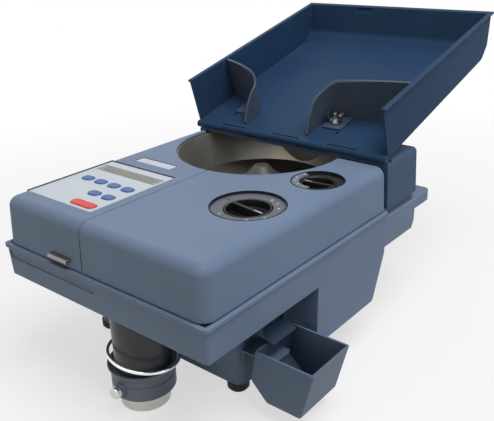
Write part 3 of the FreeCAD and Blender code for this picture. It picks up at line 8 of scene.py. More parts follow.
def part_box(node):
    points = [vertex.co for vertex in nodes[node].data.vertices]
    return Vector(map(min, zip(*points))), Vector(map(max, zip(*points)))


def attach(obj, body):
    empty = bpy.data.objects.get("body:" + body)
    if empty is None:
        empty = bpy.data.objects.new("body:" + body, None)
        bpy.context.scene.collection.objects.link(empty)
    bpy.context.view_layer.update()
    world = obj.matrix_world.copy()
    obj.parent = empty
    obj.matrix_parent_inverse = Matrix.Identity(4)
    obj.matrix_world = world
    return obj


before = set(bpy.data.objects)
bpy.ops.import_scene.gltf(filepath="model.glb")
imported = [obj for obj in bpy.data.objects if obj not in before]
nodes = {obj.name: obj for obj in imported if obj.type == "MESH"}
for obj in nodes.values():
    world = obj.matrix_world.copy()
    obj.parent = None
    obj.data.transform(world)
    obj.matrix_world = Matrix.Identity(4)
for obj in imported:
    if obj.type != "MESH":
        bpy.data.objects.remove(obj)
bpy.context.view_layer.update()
print("frame loaded:", len(nodes), "nodes")


def linkNew(name, data):
    item = bpy.data.objects.new(name, data)
    bpy.context.scene.collection.objects.link(item)
    return item


# Camera: place and nearest distance in metres, turns in degrees, lens and sensor in millimetres
cameraView = {"place": (0.39820, -0.54698, 0.40220), "yaw": -40.0, "pitch": 22.81, "roll": -2.0,
              "lens": 49.56, "sensor": 36.0, "nearest": 0.01}


def addCamera(view):
    yaw, pitch, roll = (math.radians(view[turn]) for turn in ("yaw", "pitch", "roll"))
    ahead = Vector((math.sin(yaw) * math.cos(pitch), math.cos(yaw) * math.cos(pitch),
                    -math.sin(pitch)))
    level = Vector((math.cos(yaw), -math.sin(yaw), 0))
    upright = level.cross(ahead)
    across = level * math.cos(roll) + upright * math.sin(roll)
    above = upright * math.cos(roll) - level * math.sin(roll)
    data = bpy.data.cameras.new("camera")
    data.sensor_width = view["sensor"]
    data.lens = view["lens"]
    data.clip_start = view["nearest"]
    camera = linkNew("camera", data)
    turn = Matrix((across, above, -ahead)).transposed().to_4x4()
    camera.matrix_world = Matrix.Translation(view["place"]) @ turn
    bpy.context.scene.camera = camera


addCamera(cameraView)
bpy.context.scene.view_settings.view_transform = "Standard"
print("camera set")

# Screen curve: dark levels are divided, brighter ones follow a power
screenCurve = {"full": 255, "dark": 10, "divisor": 12.92, "offset": 0.055, "power": 2.4}


def linearOf(level, curve):
    share = level / curve["full"]
    if level <= curve["dark"]:
        return share / curve["divisor"]
    return ((share + curve["offset"]) / (1 + curve["offset"])) ** curve["power"]


def tint(red, green, blue):  # screen colour, 0 to 255, as the linear colour a shader takes
    return (*[linearOf(level, screenCurve) for level in (red, green, blue)], 1.0)


def shade(colour, factor):
    return (*[min(1.0, c * factor) for c in colour[:3]], 1.0)


def addNode(tree, kind, **values):
    node = tree.nodes.new(kind)
    for name, value in values.items():
        if hasattr(node, name):
            setattr(node, name, value)
        else:
            node.inputs[name.replace("_", " ")].default_value = value
    return node


def startMaterial(name):
    material = bpy.data.materials.new(name)
    material.use_nodes = True
    tree = material.node_tree
    tree.nodes.clear()
    output = addNode(tree, "ShaderNodeOutputMaterial")
    shader = addNode(tree, "ShaderNodeBsdfPrincipled")
    tree.links.new(shader.outputs[0], output.inputs["Surface"])
    place = addNode(tree, "ShaderNodeTexCoord").outputs["Object"]
    return material, tree, shader, place


def noiseOf(tree, place, scale, detail, stretch=(1, 1, 1)):
    mapping = addNode(tree, "ShaderNodeMapping", Scale=stretch)
    tree.links.new(place, mapping.inputs["Vector"])
    noise = addNode(tree, "ShaderNodeTexNoise", Scale=scale, Detail=detail)
    tree.links.new(mapping.outputs[0], noise.inputs["Vector"])
    return noise.outputs[0]


def spread(tree, value, low, high, start=0.3, end=0.7):
    span = addNode(tree, "ShaderNodeMapRange",
                   From_Min=start, From_Max=end, To_Min=low, To_Max=high)
    tree.links.new(value, span.inputs["Value"])
    return span.outputs[0]


# Places of the colour sockets on a mix node
mixSockets = {"factor": 0, "first": 6, "second": 7, "result": 2}


def mixColour(tree, factor, first, second):
    mix = addNode(tree, "ShaderNodeMix", data_type="RGBA")
    for name, colour in (("first", first), ("second", second)):
        socket = mix.inputs[mixSockets[name]]
        if isinstance(colour, tuple):
            socket.default_value = colour
        else:
            tree.links.new(colour, socket)
    tree.links.new(factor, mix.inputs[mixSockets["factor"]])
    return mix.outputs[mixSockets["result"]]


def joined(tree, operation, first, second):
    result = addNode(tree, "ShaderNodeMath", operation=operation)
    tree.links.new(first, result.inputs[0])
    tree.links.new(second, result.inputs[1])
    return result.outputs[0]


def times(tree, value, factor):
    product = addNode(tree, "ShaderNodeMath", operation="MULTIPLY")
    tree.links.new(value, product.inputs[0])
    product.inputs[1].default_value = factor
    return product.outputs[0]


# Mask of the painted shade: how closed in a point is by its own piece
def crevices(tree, reach):  # 0 in the open, 1 deep in the piece's own corners and grooves
    closed = addNode(tree, "ShaderNodeAmbientOcclusion", samples=6, only_local=True, Distance=reach)
    return spread(tree, closed.outputs["AO"], low=1.0, high=0.0, start=0.30, end=0.80)


def edgeOf(tree, radius):  # softened normal, and how far it leans from the true one near an edge
    soft = addNode(tree, "ShaderNodeBevel", samples=4, Radius=radius)
    true = addNode(tree, "ShaderNodeNewGeometry")
    dot = addNode(tree, "ShaderNodeVectorMath", operation="DOT_PRODUCT")
    tree.links.new(soft.outputs[0], dot.inputs[0])
    tree.links.new(true.outputs["Normal"], dot.inputs[1])
    lean = spread(tree, dot.outputs["Value"], low=1.0, high=0.0, start=0.75, end=0.99)
    return soft.outputs[0], lean


# What a finish has where its own entry says nothing else; lengths in metres
# Painted highlight: the edge keys make a paler colour along edges. Painted shade: the crevice keys
# darken the piece's own corners and grooves.
plainLook = {"cloudScale": 14, "cloudDetail": 4, "grainScale": 1400, "grainDetail": 2,
             "stretch": (1, 1, 1), "roughSpread": 0.05, "bump": 0.12, "bumpDepth": 0.0003,
             "edgeRadius": 0.0008, "edgeHighlight": 0.25, "edgeHighlightLift": 1.7,
             "cornerShadeReach": 0.004, "cornerShadeLevel": 0.22, "capBlend": 0.0002,
             "scuffScale": 320, "scuffDetail": 5, "scuffFrom": 0.56, "scuffTo": 0.74,
             "scuffLift": 2.2, "metal": 0.0, "gloss": 0.5, "coat": 0.0}
shaderSockets = {"Metallic": "metal", "Specular IOR Level": "gloss", "Coat Weight": "coat"}


def variedColour(tree, place, look):
    colour = look["colour"]
    cloud = noiseOf(tree, place, look["cloudScale"], look["cloudDetail"])
    varied = mixColour(tree, spread(tree, cloud, 0, 1),
                       shade(colour, 1 - look["vary"]), shade(colour, 1 + look["vary"]))
    if "cap" in look:  # another colour above a height
        height = addNode(tree, "ShaderNodeSeparateXYZ")
        tree.links.new(place, height.inputs[0])
        line = look["cap"]["above"]
        above = spread(tree, height.outputs["Z"], 0, 1, line, line + look["capBlend"])
        varied = mixColour(tree, above, varied, look["cap"]["colour"])
    if "scuff" in look:  # fine streaks along a sliding surface
        fine = noiseOf(tree, place, look["scuffScale"], look["scuffDetail"], look["scuff"]["stretch"])
        streaks = spread(tree, fine, 0, look["scuff"]["amount"], look["scuffFrom"], look["scuffTo"])
        varied = mixColour(tree, streaks, varied, shade(colour, look["scuffLift"]))
    # painted shade: the colour darkens in the piece's own corners and grooves
    if "cornerShade" in look:
        cornerShadeMask = times(tree, crevices(tree, look["cornerShadeReach"]), look["cornerShade"])
        varied = mixColour(tree, cornerShadeMask, varied, shade(colour, look["cornerShadeLevel"]))
    return varied


def makeFinish(name, entry):
    look = {**plainLook, **entry}
    material, tree, shader, place = startMaterial(name)
    varied = variedColour(tree, place, look)
    soft, edge = edgeOf(tree, look["edgeRadius"])
    # painted highlight: a paler colour along the piece's edges
    edgeHighlightMask = times(tree, edge, look["edgeHighlight"])
    pale = look.get("edgeHighlightColour", shade(look["colour"], look["edgeHighlightLift"]))
    tree.links.new(mixColour(tree, edgeHighlightMask, varied, pale), shader.inputs["Base Color"])
    grain = noiseOf(tree, place, look["grainScale"], look["grainDetail"], look["stretch"])
    smooth, coarse = look["rough"] - look["roughSpread"], look["rough"] + look["roughSpread"]
    tree.links.new(spread(tree, grain, smooth, coarse), shader.inputs["Roughness"])
    bump = addNode(tree, "ShaderNodeBump", Strength=look["bump"], Distance=look["bumpDepth"])
    tree.links.new(grain, bump.inputs["Height"])
    tree.links.new(soft, bump.inputs["Normal"])
    tree.links.new(bump.outputs[0], shader.inputs["Normal"])
    for socket, key in shaderSockets.items():
        shader.inputs[socket].default_value = look[key]
    return material


# Finishes: each with its colour and the nodes that wear it
finishes = {
    # The edge values paint a highlight along edges; the crevice values paint shade into corners and
    # grooves.
    "housingPlastic": {
        "colour": tint(113, 131, 159), "vary": 0.05, "rough": 0.46, "bump": 0.16, "gloss": 0.12,
        "edgeHighlight": 0.8, "edgeHighlightColour": tint(176, 188, 206), "edgeRadius": 0.001, "cornerShade": 0.7,
        "on": ("base_housing", "control_cover", "coin_path_cover")},
    "rearPlastic": {
        "colour": tint(70, 91, 120), "vary": 0.05, "rough": 0.46, "bump": 0.16, "gloss": 0.06,
        "edgeHighlight": 0.5, "edgeHighlightLift": 1.9, "cornerShade": 0.7,
        "cap": {"above": 0.1858, "colour": tint(42, 62, 92)},
        "on": ("rear_housing",)},
    # painted shade: the long crevice reach darkens the inside of the bin
    "binPlastic": {
        "colour": tint(100, 117, 143), "vary": 0.06, "rough": 0.46, "bump": 0.16, "gloss": 0.15,
        "edgeHighlight": 0.8, "edgeHighlightColour": tint(156, 169, 188), "cornerShade": 0.8, "cornerShadeReach": 0.045,
        "on": ("offsort_bin", "bin_hanger")},
    "chutePlastic": {
        "colour": tint(70, 86, 110), "vary": 0.06, "rough": 0.46, "bump": 0.16, "gloss": 0.15,
        "edgeHighlight": 0.5, "cornerShade": 0.6,
        "on": ("offsort_chute",)},
    "collarPlastic": {
        "colour": tint(116, 126, 144), "vary": 0.06, "rough": 0.42, "bump": 0.14, "gloss": 0.2,
        "edgeHighlight": 0.3, "cornerShade": 0.5,
        "on": ("bag_collar",)},
    "spoutPlastic": {
        "colour": tint(66, 71, 78), "vary": 0.08, "rough": 0.30, "bump": 0.08, "gloss": 0.3,
        "edgeHighlight": 0.2,
        "on": ("spout_tube",)},
    "trayPlastic": {
        "colour": tint(45, 69, 100), "vary": 0.07, "rough": 0.44, "bump": 0.10, "gloss": 0.03,
        "edgeHighlight": 0.8, "edgeHighlightColour": tint(112, 132, 158), "edgeRadius": 0.001, "cornerShade": 0.5,
        "scuff": {"stretch": (3, 0.12, 0.12), "amount": 0.10},
        "on": ("coin_tray",)},
    "gatePlastic": {
        "colour": tint(74, 84, 102), "vary": 0.06, "rough": 0.38, "bump": 0.08, "gloss": 0.2,
        "edgeHighlight": 0.8, "edgeHighlightColour": tint(138, 148, 164),
        "on": ("left_gate", "right_gate")},
    "footRubber": {
        "colour": tint(26, 26, 28), "vary": 0.15, "rough": 0.80, "bump": 0.30, "edgeHighlight": 0.15,
        "on": ("rubber_feet", "drive_belt", "feed_belt")},
    "panelFilm": {
        "colour": tint(196, 204, 214), "vary": 0.02, "rough": 0.34, "bump": 0.05, "gloss": 0.3,
        "edgeHighlight": 0.0,
        "on": ("keypad_panel", "name_plate")},
    "blueKey": {
        "colour": tint(62, 94, 160), "vary": 0.05, "rough": 0.38, "bump": 0.06, "gloss": 0.25,
        "on": tuple("blue_key_%d" % number for number in range(1, 7))},
    "redKey": {
        "colour": tint(218, 62, 48), "vary": 0.05, "rough": 0.38, "bump": 0.06, "gloss": 0.25,
        "on": ("red_key",)},
    # painted highlight: the strong edge lift lightens the rims of the knobs and rings
    "blackPlastic": {
        "colour": tint(17, 17, 19), "vary": 0.10, "rough": 0.40, "bump": 0.10, "gloss": 0.25,
        "edgeHighlight": 0.6, "edgeHighlightLift": 16.0,
        "on": ("diameter_knob", "thickness_knob", "thickness_dial_ring", "power_inlet",
               "switch_frame", "power_switch", "count_sensor", "gate_bush", "thickness_gate")},
    "dialGrey": {
        "colour": tint(98, 102, 112), "vary": 0.10, "rough": 0.48, "bump": 0.14, "gloss": 0.2,
        "cloudScale": 420,
        "on": ("diameter_dial_ring",)},
    "satinSteel": {
        "colour": tint(205, 205, 202), "vary": 0.05, "rough": 0.30, "bump": 0.08, "metal": 1.0,
        "grainScale": 260, "stretch": (1, 1, 9), "edgeHighlight": 0.2, "edgeHighlightLift": 1.2,
        "on": ("thumb_screw", "hinge_pin", "gate_studs", "housing_screws", "disc_shaft",
               "disc_bearing", "motor_pulley", "front_roller", "rear_roller", "sliding_rail")},
    "tubeSteel": {
        "colour": tint(186, 183, 176), "vary": 0.10, "rough": 0.36, "bump": 0.10, "metal": 1.0,
        "grainScale": 260, "stretch": (1, 1, 9), "edgeHighlight": 0.3, "edgeHighlightLift": 1.4,
        "on": ("outlet_tube",)},
    "latchSteel": {
        "colour": tint(150, 148, 139), "vary": 0.10, "rough": 0.34, "bump": 0.10, "metal": 1.0,
        "edgeHighlight": 0.4, "edgeHighlightLift": 1.6,
        "on": ("latch_tab",)},
    "wingSteel": {
        "colour": tint(134, 137, 142), "vary": 0.08, "rough": 0.34, "bump": 0.08, "metal": 1.0,
        "edgeHighlight": 0.5, "edgeHighlightLift": 1.8,
        "on": ("right_wing_nut",)},
    "ringChrome": {
        "colour": tint(236, 237, 240), "vary": 0.02, "rough": 0.10, "bump": 0.02, "metal": 1.0,
        "edgeHighlight": 0.0,
        "on": ("bag_ring",)},
    "hopperMetal": {
        "colour": tint(152, 149, 143), "vary": 0.12, "rough": 0.40, "bump": 0.08, "metal": 0.75,
        "grainScale": 220, "stretch": (1, 1, 7), "cloudScale": 26,
        "scuff": {"stretch": (0.15, 0.15, 3), "amount": 0.12},
        "on": ("hopper_bowl", "coin_track", "feed_bracket")},
    "deckPaint": {
        "colour": tint(46, 54, 66), "vary": 0.08, "rough": 0.5, "metal": 0.3,
        "on": ("deck_plate",)},
    "discRubber": {
        "colour": tint(58, 56, 52), "vary": 0.16, "rough": 0.70, "bump": 0.30,
        "on": ("feed_disc",)},
    "conePlastic": {
        "colour": tint(76, 75, 72), "vary": 0.10, "rough": 0.45,
        "on": ("disc_cone",)},
    "motorPaint": {
        "colour": tint(88, 90, 96), "vary": 0.06, "rough": 0.40, "metal": 0.5,
        "on": ("disc_motor", "feed_motor", "power_supply")},
    "boardGreen": {
        "colour": tint(34, 104, 66), "vary": 0.08, "rough": 0.40, "coat": 0.3,
        "on": ("control_board",)},
    "displayOlive": {
        "colour": tint(136, 138, 126), "vary": 0.04, "rough": 0.16, "bump": 0.02, "gloss": 0.2,
        "coat": 0.3, "edgeHighlight": 0.0,
        "on": ("display_window",)},
}


def wear(piece, material):
    piece.data.materials.clear()
    piece.data.materials.append(material)


for name, look in finishes.items():
    material = makeFinish(name, look)
    for node in look["on"]:
        wear(nodes[node], material)
bare = sorted(set(nodes) - {node for look in finishes.values() for node in look["on"]})
print("finishes:", len(finishes), "nodes without one:", bare)

# Light and stage: lengths in metres, lamp power in watts
stageSet = {"floorSize": 14.0, "floor": tint(250, 250, 251), "bounce": tint(194, 190, 182),
            "paperScale": 60, "paperDetail": 3, "paperShade": 0.99, "rough": 0.9,
            "liftNear": 0.62, "liftFar": 1.0, "near": 0.35, "far": 0.95, "ambient": 0.19}
plainWhite = (1, 1, 1, 1)
lampSet = {
    "keyLamp": {"place": (0.75, -0.15, 2.0), "aim": (0, 0, 0.15), "size": 1.3,
                "power": 30, "colour": (1.0, 1.0, 1.0)},
    "rearLamp": {"place": (-1.2, 0.8, 1.5), "aim": (0, 0.1, 0.2), "size": 1.4,
                 "power": 4, "colour": (1.0, 1.0, 1.0)},
    "fillLamp": {"place": (-0.1, -1.9, 0.8), "aim": (0, 0, 0.12), "size": 1.2,
                 "power": 4.5, "colour": (1.0, 0.90, 0.60)},
    "sideLamp": {"place": (1.5, 0.7, 0.8), "aim": (0, 0.05, 0.15), "size": 1.2,
                 "power": 3.2, "colour": (0.86, 0.95, 1.0)},
}


def addLamp(name, lamp):
    data = bpy.data.lights.new(name, "AREA")
    data.size = lamp["size"]
    data.energy = lamp["power"]
    data.color = lamp["colour"]
    light = linkNew(name, data)
    aim = Vector(lamp["aim"]) - Vector(lamp["place"])
    turn = aim.to_track_quat("-Z", "Y").to_matrix().to_4x4()
    light.matrix_world = Matrix.Translation(lamp["place"]) @ turn


def seenRays(tree):  # 1 for rays that show a surface, 0 for those that only carry its light
    path = addNode(tree, "ShaderNodeLightPath")
    seen = path.outputs["Is Camera Ray"]
    for ray in ("Is Glossy Ray", "Is Transmission Ray"):
        seen = joined(tree, "MAXIMUM", seen, path.outputs[ray])
    return seen


def blended(tree, factor, first, second):
    blend = addNode(tree, "ShaderNodeMixShader")
    for socket, source in zip(blend.inputs, (factor, first.outputs[0], second.outputs[0])):
        tree.links.new(source, socket)
    return blend.outputs[0]


def makeFloor(look):
    material, tree, shader, place = startMaterial("floorPaper")
    paper = spread(tree, noiseOf(tree, place, look["paperScale"], look["paperDetail"]), 0, 1)
    pale = mixColour(tree, paper, shade(look["floor"], look["paperShade"]), look["floor"])
    tree.links.new(mixColour(tree, seenRays(tree), look["bounce"], pale), shader.inputs["Base Color"])
    shader.inputs["Roughness"].default_value = look["rough"]
    shader.inputs["Specular IOR Level"].default_value = 0.0
    away = addNode(tree, "ShaderNodeVectorMath", operation="LENGTH")
    tree.links.new(place, away.inputs[0])
    lift = spread(tree, away.outputs["Value"],
                  look["liftNear"], look["liftFar"], look["near"], look["far"])
    share = joined(tree, "MULTIPLY", lift, seenRays(tree))  # only rays that show it see it lifted
    white = addNode(tree, "ShaderNodeEmission", Color=plainWhite, Strength=1.0)
    surface = tree.nodes["Material Output"].inputs["Surface"]
    tree.links.new(blended(tree, share, shader, white), surface)
    return material


def addStage(look):
    mesh = bmesh.new()
    bmesh.ops.create_grid(mesh, x_segments=1, y_segments=1, size=look["floorSize"] / 2)
    data = bpy.data.meshes.new("floor")
    mesh.to_mesh(data)
    mesh.free()
    floor = linkNew("floor", data)
    wear(floor, makeFloor(look))
    world = bpy.data.worlds.new("studio")
    world.use_nodes = True
    tree = world.node_tree
    tree.nodes.clear()
    output = addNode(tree, "ShaderNodeOutputWorld")
    room = addNode(tree, "ShaderNodeBackground", Color=plainWhite, Strength=look["ambient"])
    backdrop = addNode(tree, "ShaderNodeBackground", Color=plainWhite, Strength=1.0)
    tree.links.new(blended(tree, seenRays(tree), room, backdrop), output.inputs[0])
    bpy.context.scene.world = world


addStage(stageSet)
for name, lamp in lampSet.items():
    addLamp(name, lamp)
print("stage and lamps set")

# Paints of the small pieces that follow
paintLooks = {
    "markPaint": {"colour": tint(226, 227, 226), "vary": 0.02, "rough": 0.5, "gloss": 0.2,
                  "edgeHighlight": 0.0},
    # dark print of the zero mark, and painted shade in the dial openings and the cover seam
    "darkPrintAndShade": {"colour": tint(30, 33, 40), "vary": 0.08, "rough": 0.5, "gloss": 0.2,
                  "edgeHighlight": 0.0},
    "sectorGrey": {"colour": tint(112, 117, 129), "vary": 0.08, "rough": 0.48, "gloss": 0.2,
                   "cloudScale": 420},
    # painted shade: colour of the dark strips in the gaps at the keypad panel and the name plate
    "shadowStripNavy": {"colour": tint(38, 49, 66), "vary": 0.08, "rough": 0.55, "gloss": 0.2,
                 "edgeHighlight": 0.15},
    "cellOlive": {"colour": tint(122, 125, 112), "vary": 0.05, "rough": 0.2, "gloss": 0.2,
                  "edgeHighlight": 0.0},
}
paints = {name: makeFinish(name, look) for name, look in paintLooks.items()}
print("paints:", len(paints))


def newPiece(name, mesh, body, paint):
    data = bpy.data.meshes.new(name)
    bmesh.ops.recalc_face_normals(mesh, faces=mesh.faces)
    mesh.to_mesh(data)
    mesh.free()
    piece = linkNew(name, data)
    wear(piece, paints[paint])
    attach(piece, body)


def centreOf(node):
    low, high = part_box(node)
    return (low + high) / 2


# Dials: plain numbers at an angle from +X in degrees, sizes in metres
dialNumbers = {
    "diameterNumbers": {"ring": "diameter_dial_ring", "knob": "diameter_knob",
                        "angles": (243, 305, 341, 29, 54, 75),
                        "radius": 0.0262, "size": 0.0056, "rise": 0.0002, "lift": 0.0},
    "thicknessNumbers": {"ring": "thickness_dial_ring", "knob": "thickness_knob",
                         "angles": (264, 240, 213, 192, 161),
                         "radius": 0.0211, "size": 0.0046, "rise": 0.0002, "lift": 0.0024},
}
numberWeld = 1e-7


def numberMesh(words, size, rise):
    data = bpy.data.curves.new("number", "FONT")
    data.body = words
    data.size = size
    data.extrude = rise / 2
    data.align_x = "CENTER"
    data.align_y = "CENTER"
    holder = bpy.data.objects.new("number", data)
    flat = bpy.data.meshes.new_from_object(holder)
    bpy.data.objects.remove(holder)
    bpy.data.curves.remove(data)
    return flat


def addNumbers(name, dial):
    centre = centreOf(dial["knob"])
    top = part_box(dial["ring"])[1].z + dial["lift"]
    mesh = bmesh.new()
    for count, angle in enumerate(dial["angles"], 1):
        flat = numberMesh(str(count), dial["size"], dial["rise"])
        turn = math.radians(angle)
        spot = Vector((centre.x + dial["radius"] * math.cos(turn),
                       centre.y + dial["radius"] * math.sin(turn), top))
        flat.transform(Matrix.Translation(spot))
        mesh.from_mesh(flat)
        bpy.data.meshes.remove(flat)
    bmesh.ops.remove_doubles(mesh, verts=mesh.verts, dist=numberWeld)
    newPiece(name, mesh, "housing", "markPaint")


for name, dial in dialNumbers.items():
    addNumbers(name, dial)
print("dial numbers added")

# Painted shade: dark rings standing in for the shaded walls of the two dial openings, and the raised
# scale plate of the thickness dial
shadeRings = {
    "diameterShadeRing": {"knob": "diameter_knob", "outer": 0.03365, "inner": 0.03300,
                       "low": 0.1795, "high": 0.18215, "steps": 128},
    "thicknessShadeRing": {"knob": "thickness_knob", "outer": 0.02525, "inner": 0.02465,
                        "low": 0.1795, "high": 0.18215, "steps": 128},
}
shadeRingWeld = 1e-6
scalePlate = {"knob": "thickness_knob", "inner": 0.0176, "outer": 0.0245, "low": 0.17945,
              "high": 0.1818, "start": 152, "sweep": 126, "steps": 42,
              "sharpFrom": 1, "edge": 0.0003, "edgeSteps": 2}


def ringSection(mesh, band, angle=0.0):
    centre = centreOf(band["knob"])
    turn = math.radians(angle)
    corners = ((band["inner"], band["low"]), (band["outer"], band["low"]),
               (band["outer"], band["high"]), (band["inner"], band["high"]))
    points = [mesh.verts.new((centre.x + r * math.cos(turn), centre.y + r * math.sin(turn), z))
              for r, z in corners]
    edges = [mesh.edges.new((points[index - 1], points[index])) for index in (1, 2, 3, 0)]
    return points + edges, (centre.x, centre.y, 0)


def addLining(name, band):
    mesh = bmesh.new()
    section, axis = ringSection(mesh, band)
    bmesh.ops.spin(mesh, geom=section, cent=axis, axis=(0, 0, 1), angle=math.tau,
                   steps=band["steps"], use_merge=True)
    bmesh.ops.remove_doubles(mesh, verts=mesh.verts, dist=shadeRingWeld)
    newPiece(name, mesh, "housing", "darkPrintAndShade")


def addScalePlate(band):
    mesh = bmesh.new()
    section, axis = ringSection(mesh, band, band["start"])
    bmesh.ops.spin(mesh, geom=section, cent=axis, axis=(0, 0, 1),
                   angle=math.radians(band["sweep"]), steps=band["steps"])
    bmesh.ops.holes_fill(mesh, edges=mesh.edges, sides=4)
    rims = [edge for edge in mesh.edges if edge.calc_face_angle(0) > band["sharpFrom"]]
    bmesh.ops.bevel(mesh, geom=rims, offset=band["edge"], affect="EDGES",
                    segments=band["edgeSteps"], profile=0.5, material=-1)
    newPiece("thicknessScalePlate", mesh, "housing", "sectorGrey")


for name, band in shadeRings.items():
    addLining(name, band)
addScalePlate(scalePlate)
print("dial linings and scale plate added")

# Bars: small painted lines on a knob or ring, at an angle from +X, from one radius to another
bars = {
    "diameterPointer": {"knob": "diameter_knob", "top": "diameter_knob", "body": "diameter_dial",
                        "angle": 350.5, "reach": (0.0080, 0.0178), "width": 0.0012,
                        "rise": 0.0002, "paint": "markPaint"},
    "thicknessPointer": {"knob": "thickness_knob", "top": "thickness_knob",
                         "body": "thickness_dial", "angle": 186.5, "reach": (0.0060, 0.0136),
                         "width": 0.0010, "rise": 0.0002, "paint": "markPaint"},
    "diameterZeroMark": {"knob": "diameter_knob", "top": "diameter_dial_ring", "body": "housing",
                         "angle": 170, "reach": (0.0242, 0.0274), "width": 0.0014,
                         "rise": 0.0002, "paint": "darkPrintAndShade"},
}
barShape = {"edge": 0.00006, "middle": 0.3}  # the middle lies this share of the rise above its seat


def addBar(name, bar):
    centre = centreOf(bar["knob"])
    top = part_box(bar["top"])[1].z
    near, far = bar["reach"]
    turn = Matrix.Rotation(math.radians(bar["angle"]), 3, "Z")
    seat = (centre.x, centre.y, top + bar["rise"] * barShape["middle"])
    mesh = bmesh.new()
    bmesh.ops.create_cube(mesh, size=1.0)
    bmesh.ops.scale(mesh, vec=(far - near, bar["width"], bar["rise"]), verts=mesh.verts)
    bmesh.ops.bevel(mesh, geom=mesh.edges[:], offset=barShape["edge"], affect="EDGES",
                    segments=1, profile=0.5, material=-1)
    bmesh.ops.translate(mesh, vec=((near + far) / 2, 0, 0), verts=mesh.verts)
    bmesh.ops.rotate(mesh, cent=(0, 0, 0), matrix=turn, verts=mesh.verts)
    bmesh.ops.translate(mesh, vec=seat, verts=mesh.verts)
    newPiece(name, mesh, bar["body"], bar["paint"])


for name, bar in bars.items():
    addBar(name, bar)
print("pointers and mark added")

# Painted shade: dark strips standing in for the shadow in the gap behind and left of the keypad panel
# and the name plate
shadowStrips = {
    "panelShadowStrip": {"node": "keypad_panel", "width": 0.0013, "gap": 0.0001,
                  "low": 0.0005, "high": 0.00008},
    "plateShadowStrip": {"node": "name_plate", "width": 0.0009, "gap": 0.0001,
                  "low": 0.0005, "high": 0.00008},
}


def addSeal(name, shadowStrip):
    low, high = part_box(shadowStrip["node"])
    left, rear = low.x - shadowStrip["gap"], high.y + shadowStrip["gap"]
    outLeft, outRear = left - shadowStrip["width"], rear + shadowStrip["width"]
    corners = ((outLeft, low.y), (left, low.y), (left, rear),
               (high.x, rear), (high.x, outRear), (outLeft, outRear))
    base = high.z - shadowStrip["low"]
    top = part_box("control_cover")[1].z + shadowStrip["high"]
    mesh = bmesh.new()
    sheet = mesh.faces.new([mesh.verts.new((x, y, base)) for x, y in corners])
    raised = bmesh.ops.extrude_face_region(mesh, geom=[sheet], use_keep_orig=True)
    tops = [part for part in raised["geom"] if isinstance(part, bmesh.types.BMVert)]
    bmesh.ops.translate(mesh, vec=(0, 0, top - base), verts=tops)
    newPiece(name, mesh, "housing", "shadowStripNavy")


for name, shadowStrip in shadowStrips.items():
    addSeal(name, shadowStrip)
print("panel seals added")

# Seam strip, painted shade: a dark strip standing in for the shadow in the parting seam of the two
# covers, from the lip over the front edge to the hopper. Rays from outside find the skin; the strip
# ends where the top stops being flat.
seamStrip = {"left": "control_cover", "right": "coin_path_cover", "round": 0.030, "bottom": 0.003,
             "frontSteps": 14, "bendSteps": 28, "topSteps": 42, "topShare": 0.8,
             "frontWidth": 0.0011, "topWidth": 0.0006, "proud": 0.00006, "sunk": 0.0004,
             "beside": 0.0002, "rayStart": 0.05, "bendStart": 0.1, "steep": 0.99, "flat": 0.0003}


def seamRays(strip, low, high):
    x, bend, bottom = low.x + strip["beside"], strip["round"], strip["bottom"]
    rise = high.z - bend - low.z - bottom
    for step in range(strip["frontSteps"]):
        z = low.z + bottom + rise * step / strip["frontSteps"]
        yield Vector((x, low.y - strip["rayStart"], z)), Vector((0, 1, 0))
    hub = Vector((x, low.y + bend, high.z - bend))
    for step in range(strip["bendSteps"]):
        turn = math.pi / 2 * step / strip["bendSteps"]
        inward = Vector((0, math.cos(turn), -math.sin(turn)))
        yield hub - inward * strip["bendStart"], inward
    run = (high.y - low.y) * strip["topShare"]
    for step in range(strip["topSteps"]):
        y = low.y + bend + run * step / strip["topSteps"]
        yield Vector((x, y, high.z + strip["rayStart"])), Vector((0, 0, -1))


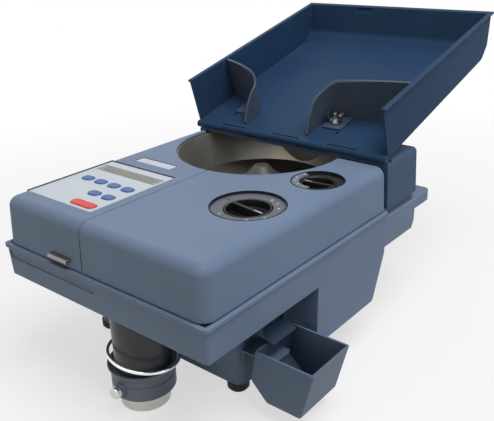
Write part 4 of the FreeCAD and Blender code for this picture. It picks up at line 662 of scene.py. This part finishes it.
def seamLine(strip):  # points on the skin beside the seam, each with the way outwards
    low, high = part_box(strip["right"])
    skin = bmesh.new()
    skin.from_mesh(nodes[strip["right"]].data)
    tree = BVHTree.FromBMesh(skin)
    skin.free()
    line = []
    for start, way in seamRays(strip, low, high):
        spot, normal = tree.ray_cast(start, way)[:2]
        if spot is None or (way.z < -strip["steep"] and spot.z < high.z - strip["flat"]):
            break
        line.append((spot, normal))
    return line


def addSeamStrip(strip):
    middle = (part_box(strip["left"])[1].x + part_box(strip["right"])[0].x) / 2
    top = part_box(strip["right"])[1].z
    proud, sunk = strip["proud"], -strip["sunk"]
    mesh = bmesh.new()
    rows = []
    for spot, normal in seamLine(strip):
        share = min(1.0, (top - spot.z) / strip["round"])
        half = (strip["topWidth"] + (strip["frontWidth"] - strip["topWidth"]) * share) / 2
        offsets = ((-half, proud), (half, proud), (half, sunk), (-half, sunk))
        rows.append([mesh.verts.new((middle + side, *(spot + normal * out).yz))
                     for side, out in offsets])
    for first, second in zip(rows, rows[1:]):
        for index in range(4):
            after = (index + 1) % 4
            mesh.faces.new((first[index], first[after], second[after], second[index]))
    mesh.faces.new(rows[0])
    mesh.faces.new(rows[-1])
    newPiece("coverSeamShadow", mesh, "housing", "darkPrintAndShade")


addSeamStrip(seamStrip)
print("seam strip added")

# Display cells: plain, in two rows
displayCells = {"node": "display_window", "margin": (0.0062, 0.0032), "columns": 16, "rows": 2,
                "fill": (0.78, 0.80), "rise": 0.00006}


def addCells(cells):
    low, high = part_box(cells["node"])
    marginX, marginY = cells["margin"]
    fillX, fillY = cells["fill"]
    stepX = (high.x - low.x - 2 * marginX) / cells["columns"]
    stepY = (high.y - low.y - 2 * marginY) / cells["rows"]
    size = (stepX * fillX, stepY * fillY, cells["rise"] * 2)
    mesh = bmesh.new()
    for row in range(cells["rows"]):
        for column in range(cells["columns"]):
            cell = bmesh.ops.create_cube(mesh, size=1.0)["verts"]
            bmesh.ops.scale(mesh, vec=size, verts=cell)
            spot = (low.x + marginX + (column + 0.5) * stepX,
                    low.y + marginY + (row + 0.5) * stepY, high.z)
            bmesh.ops.translate(mesh, vec=spot, verts=cell)
    newPiece("displayCells", mesh, "housing", "cellOlive")


addCells(displayCells)
print("display cells added")
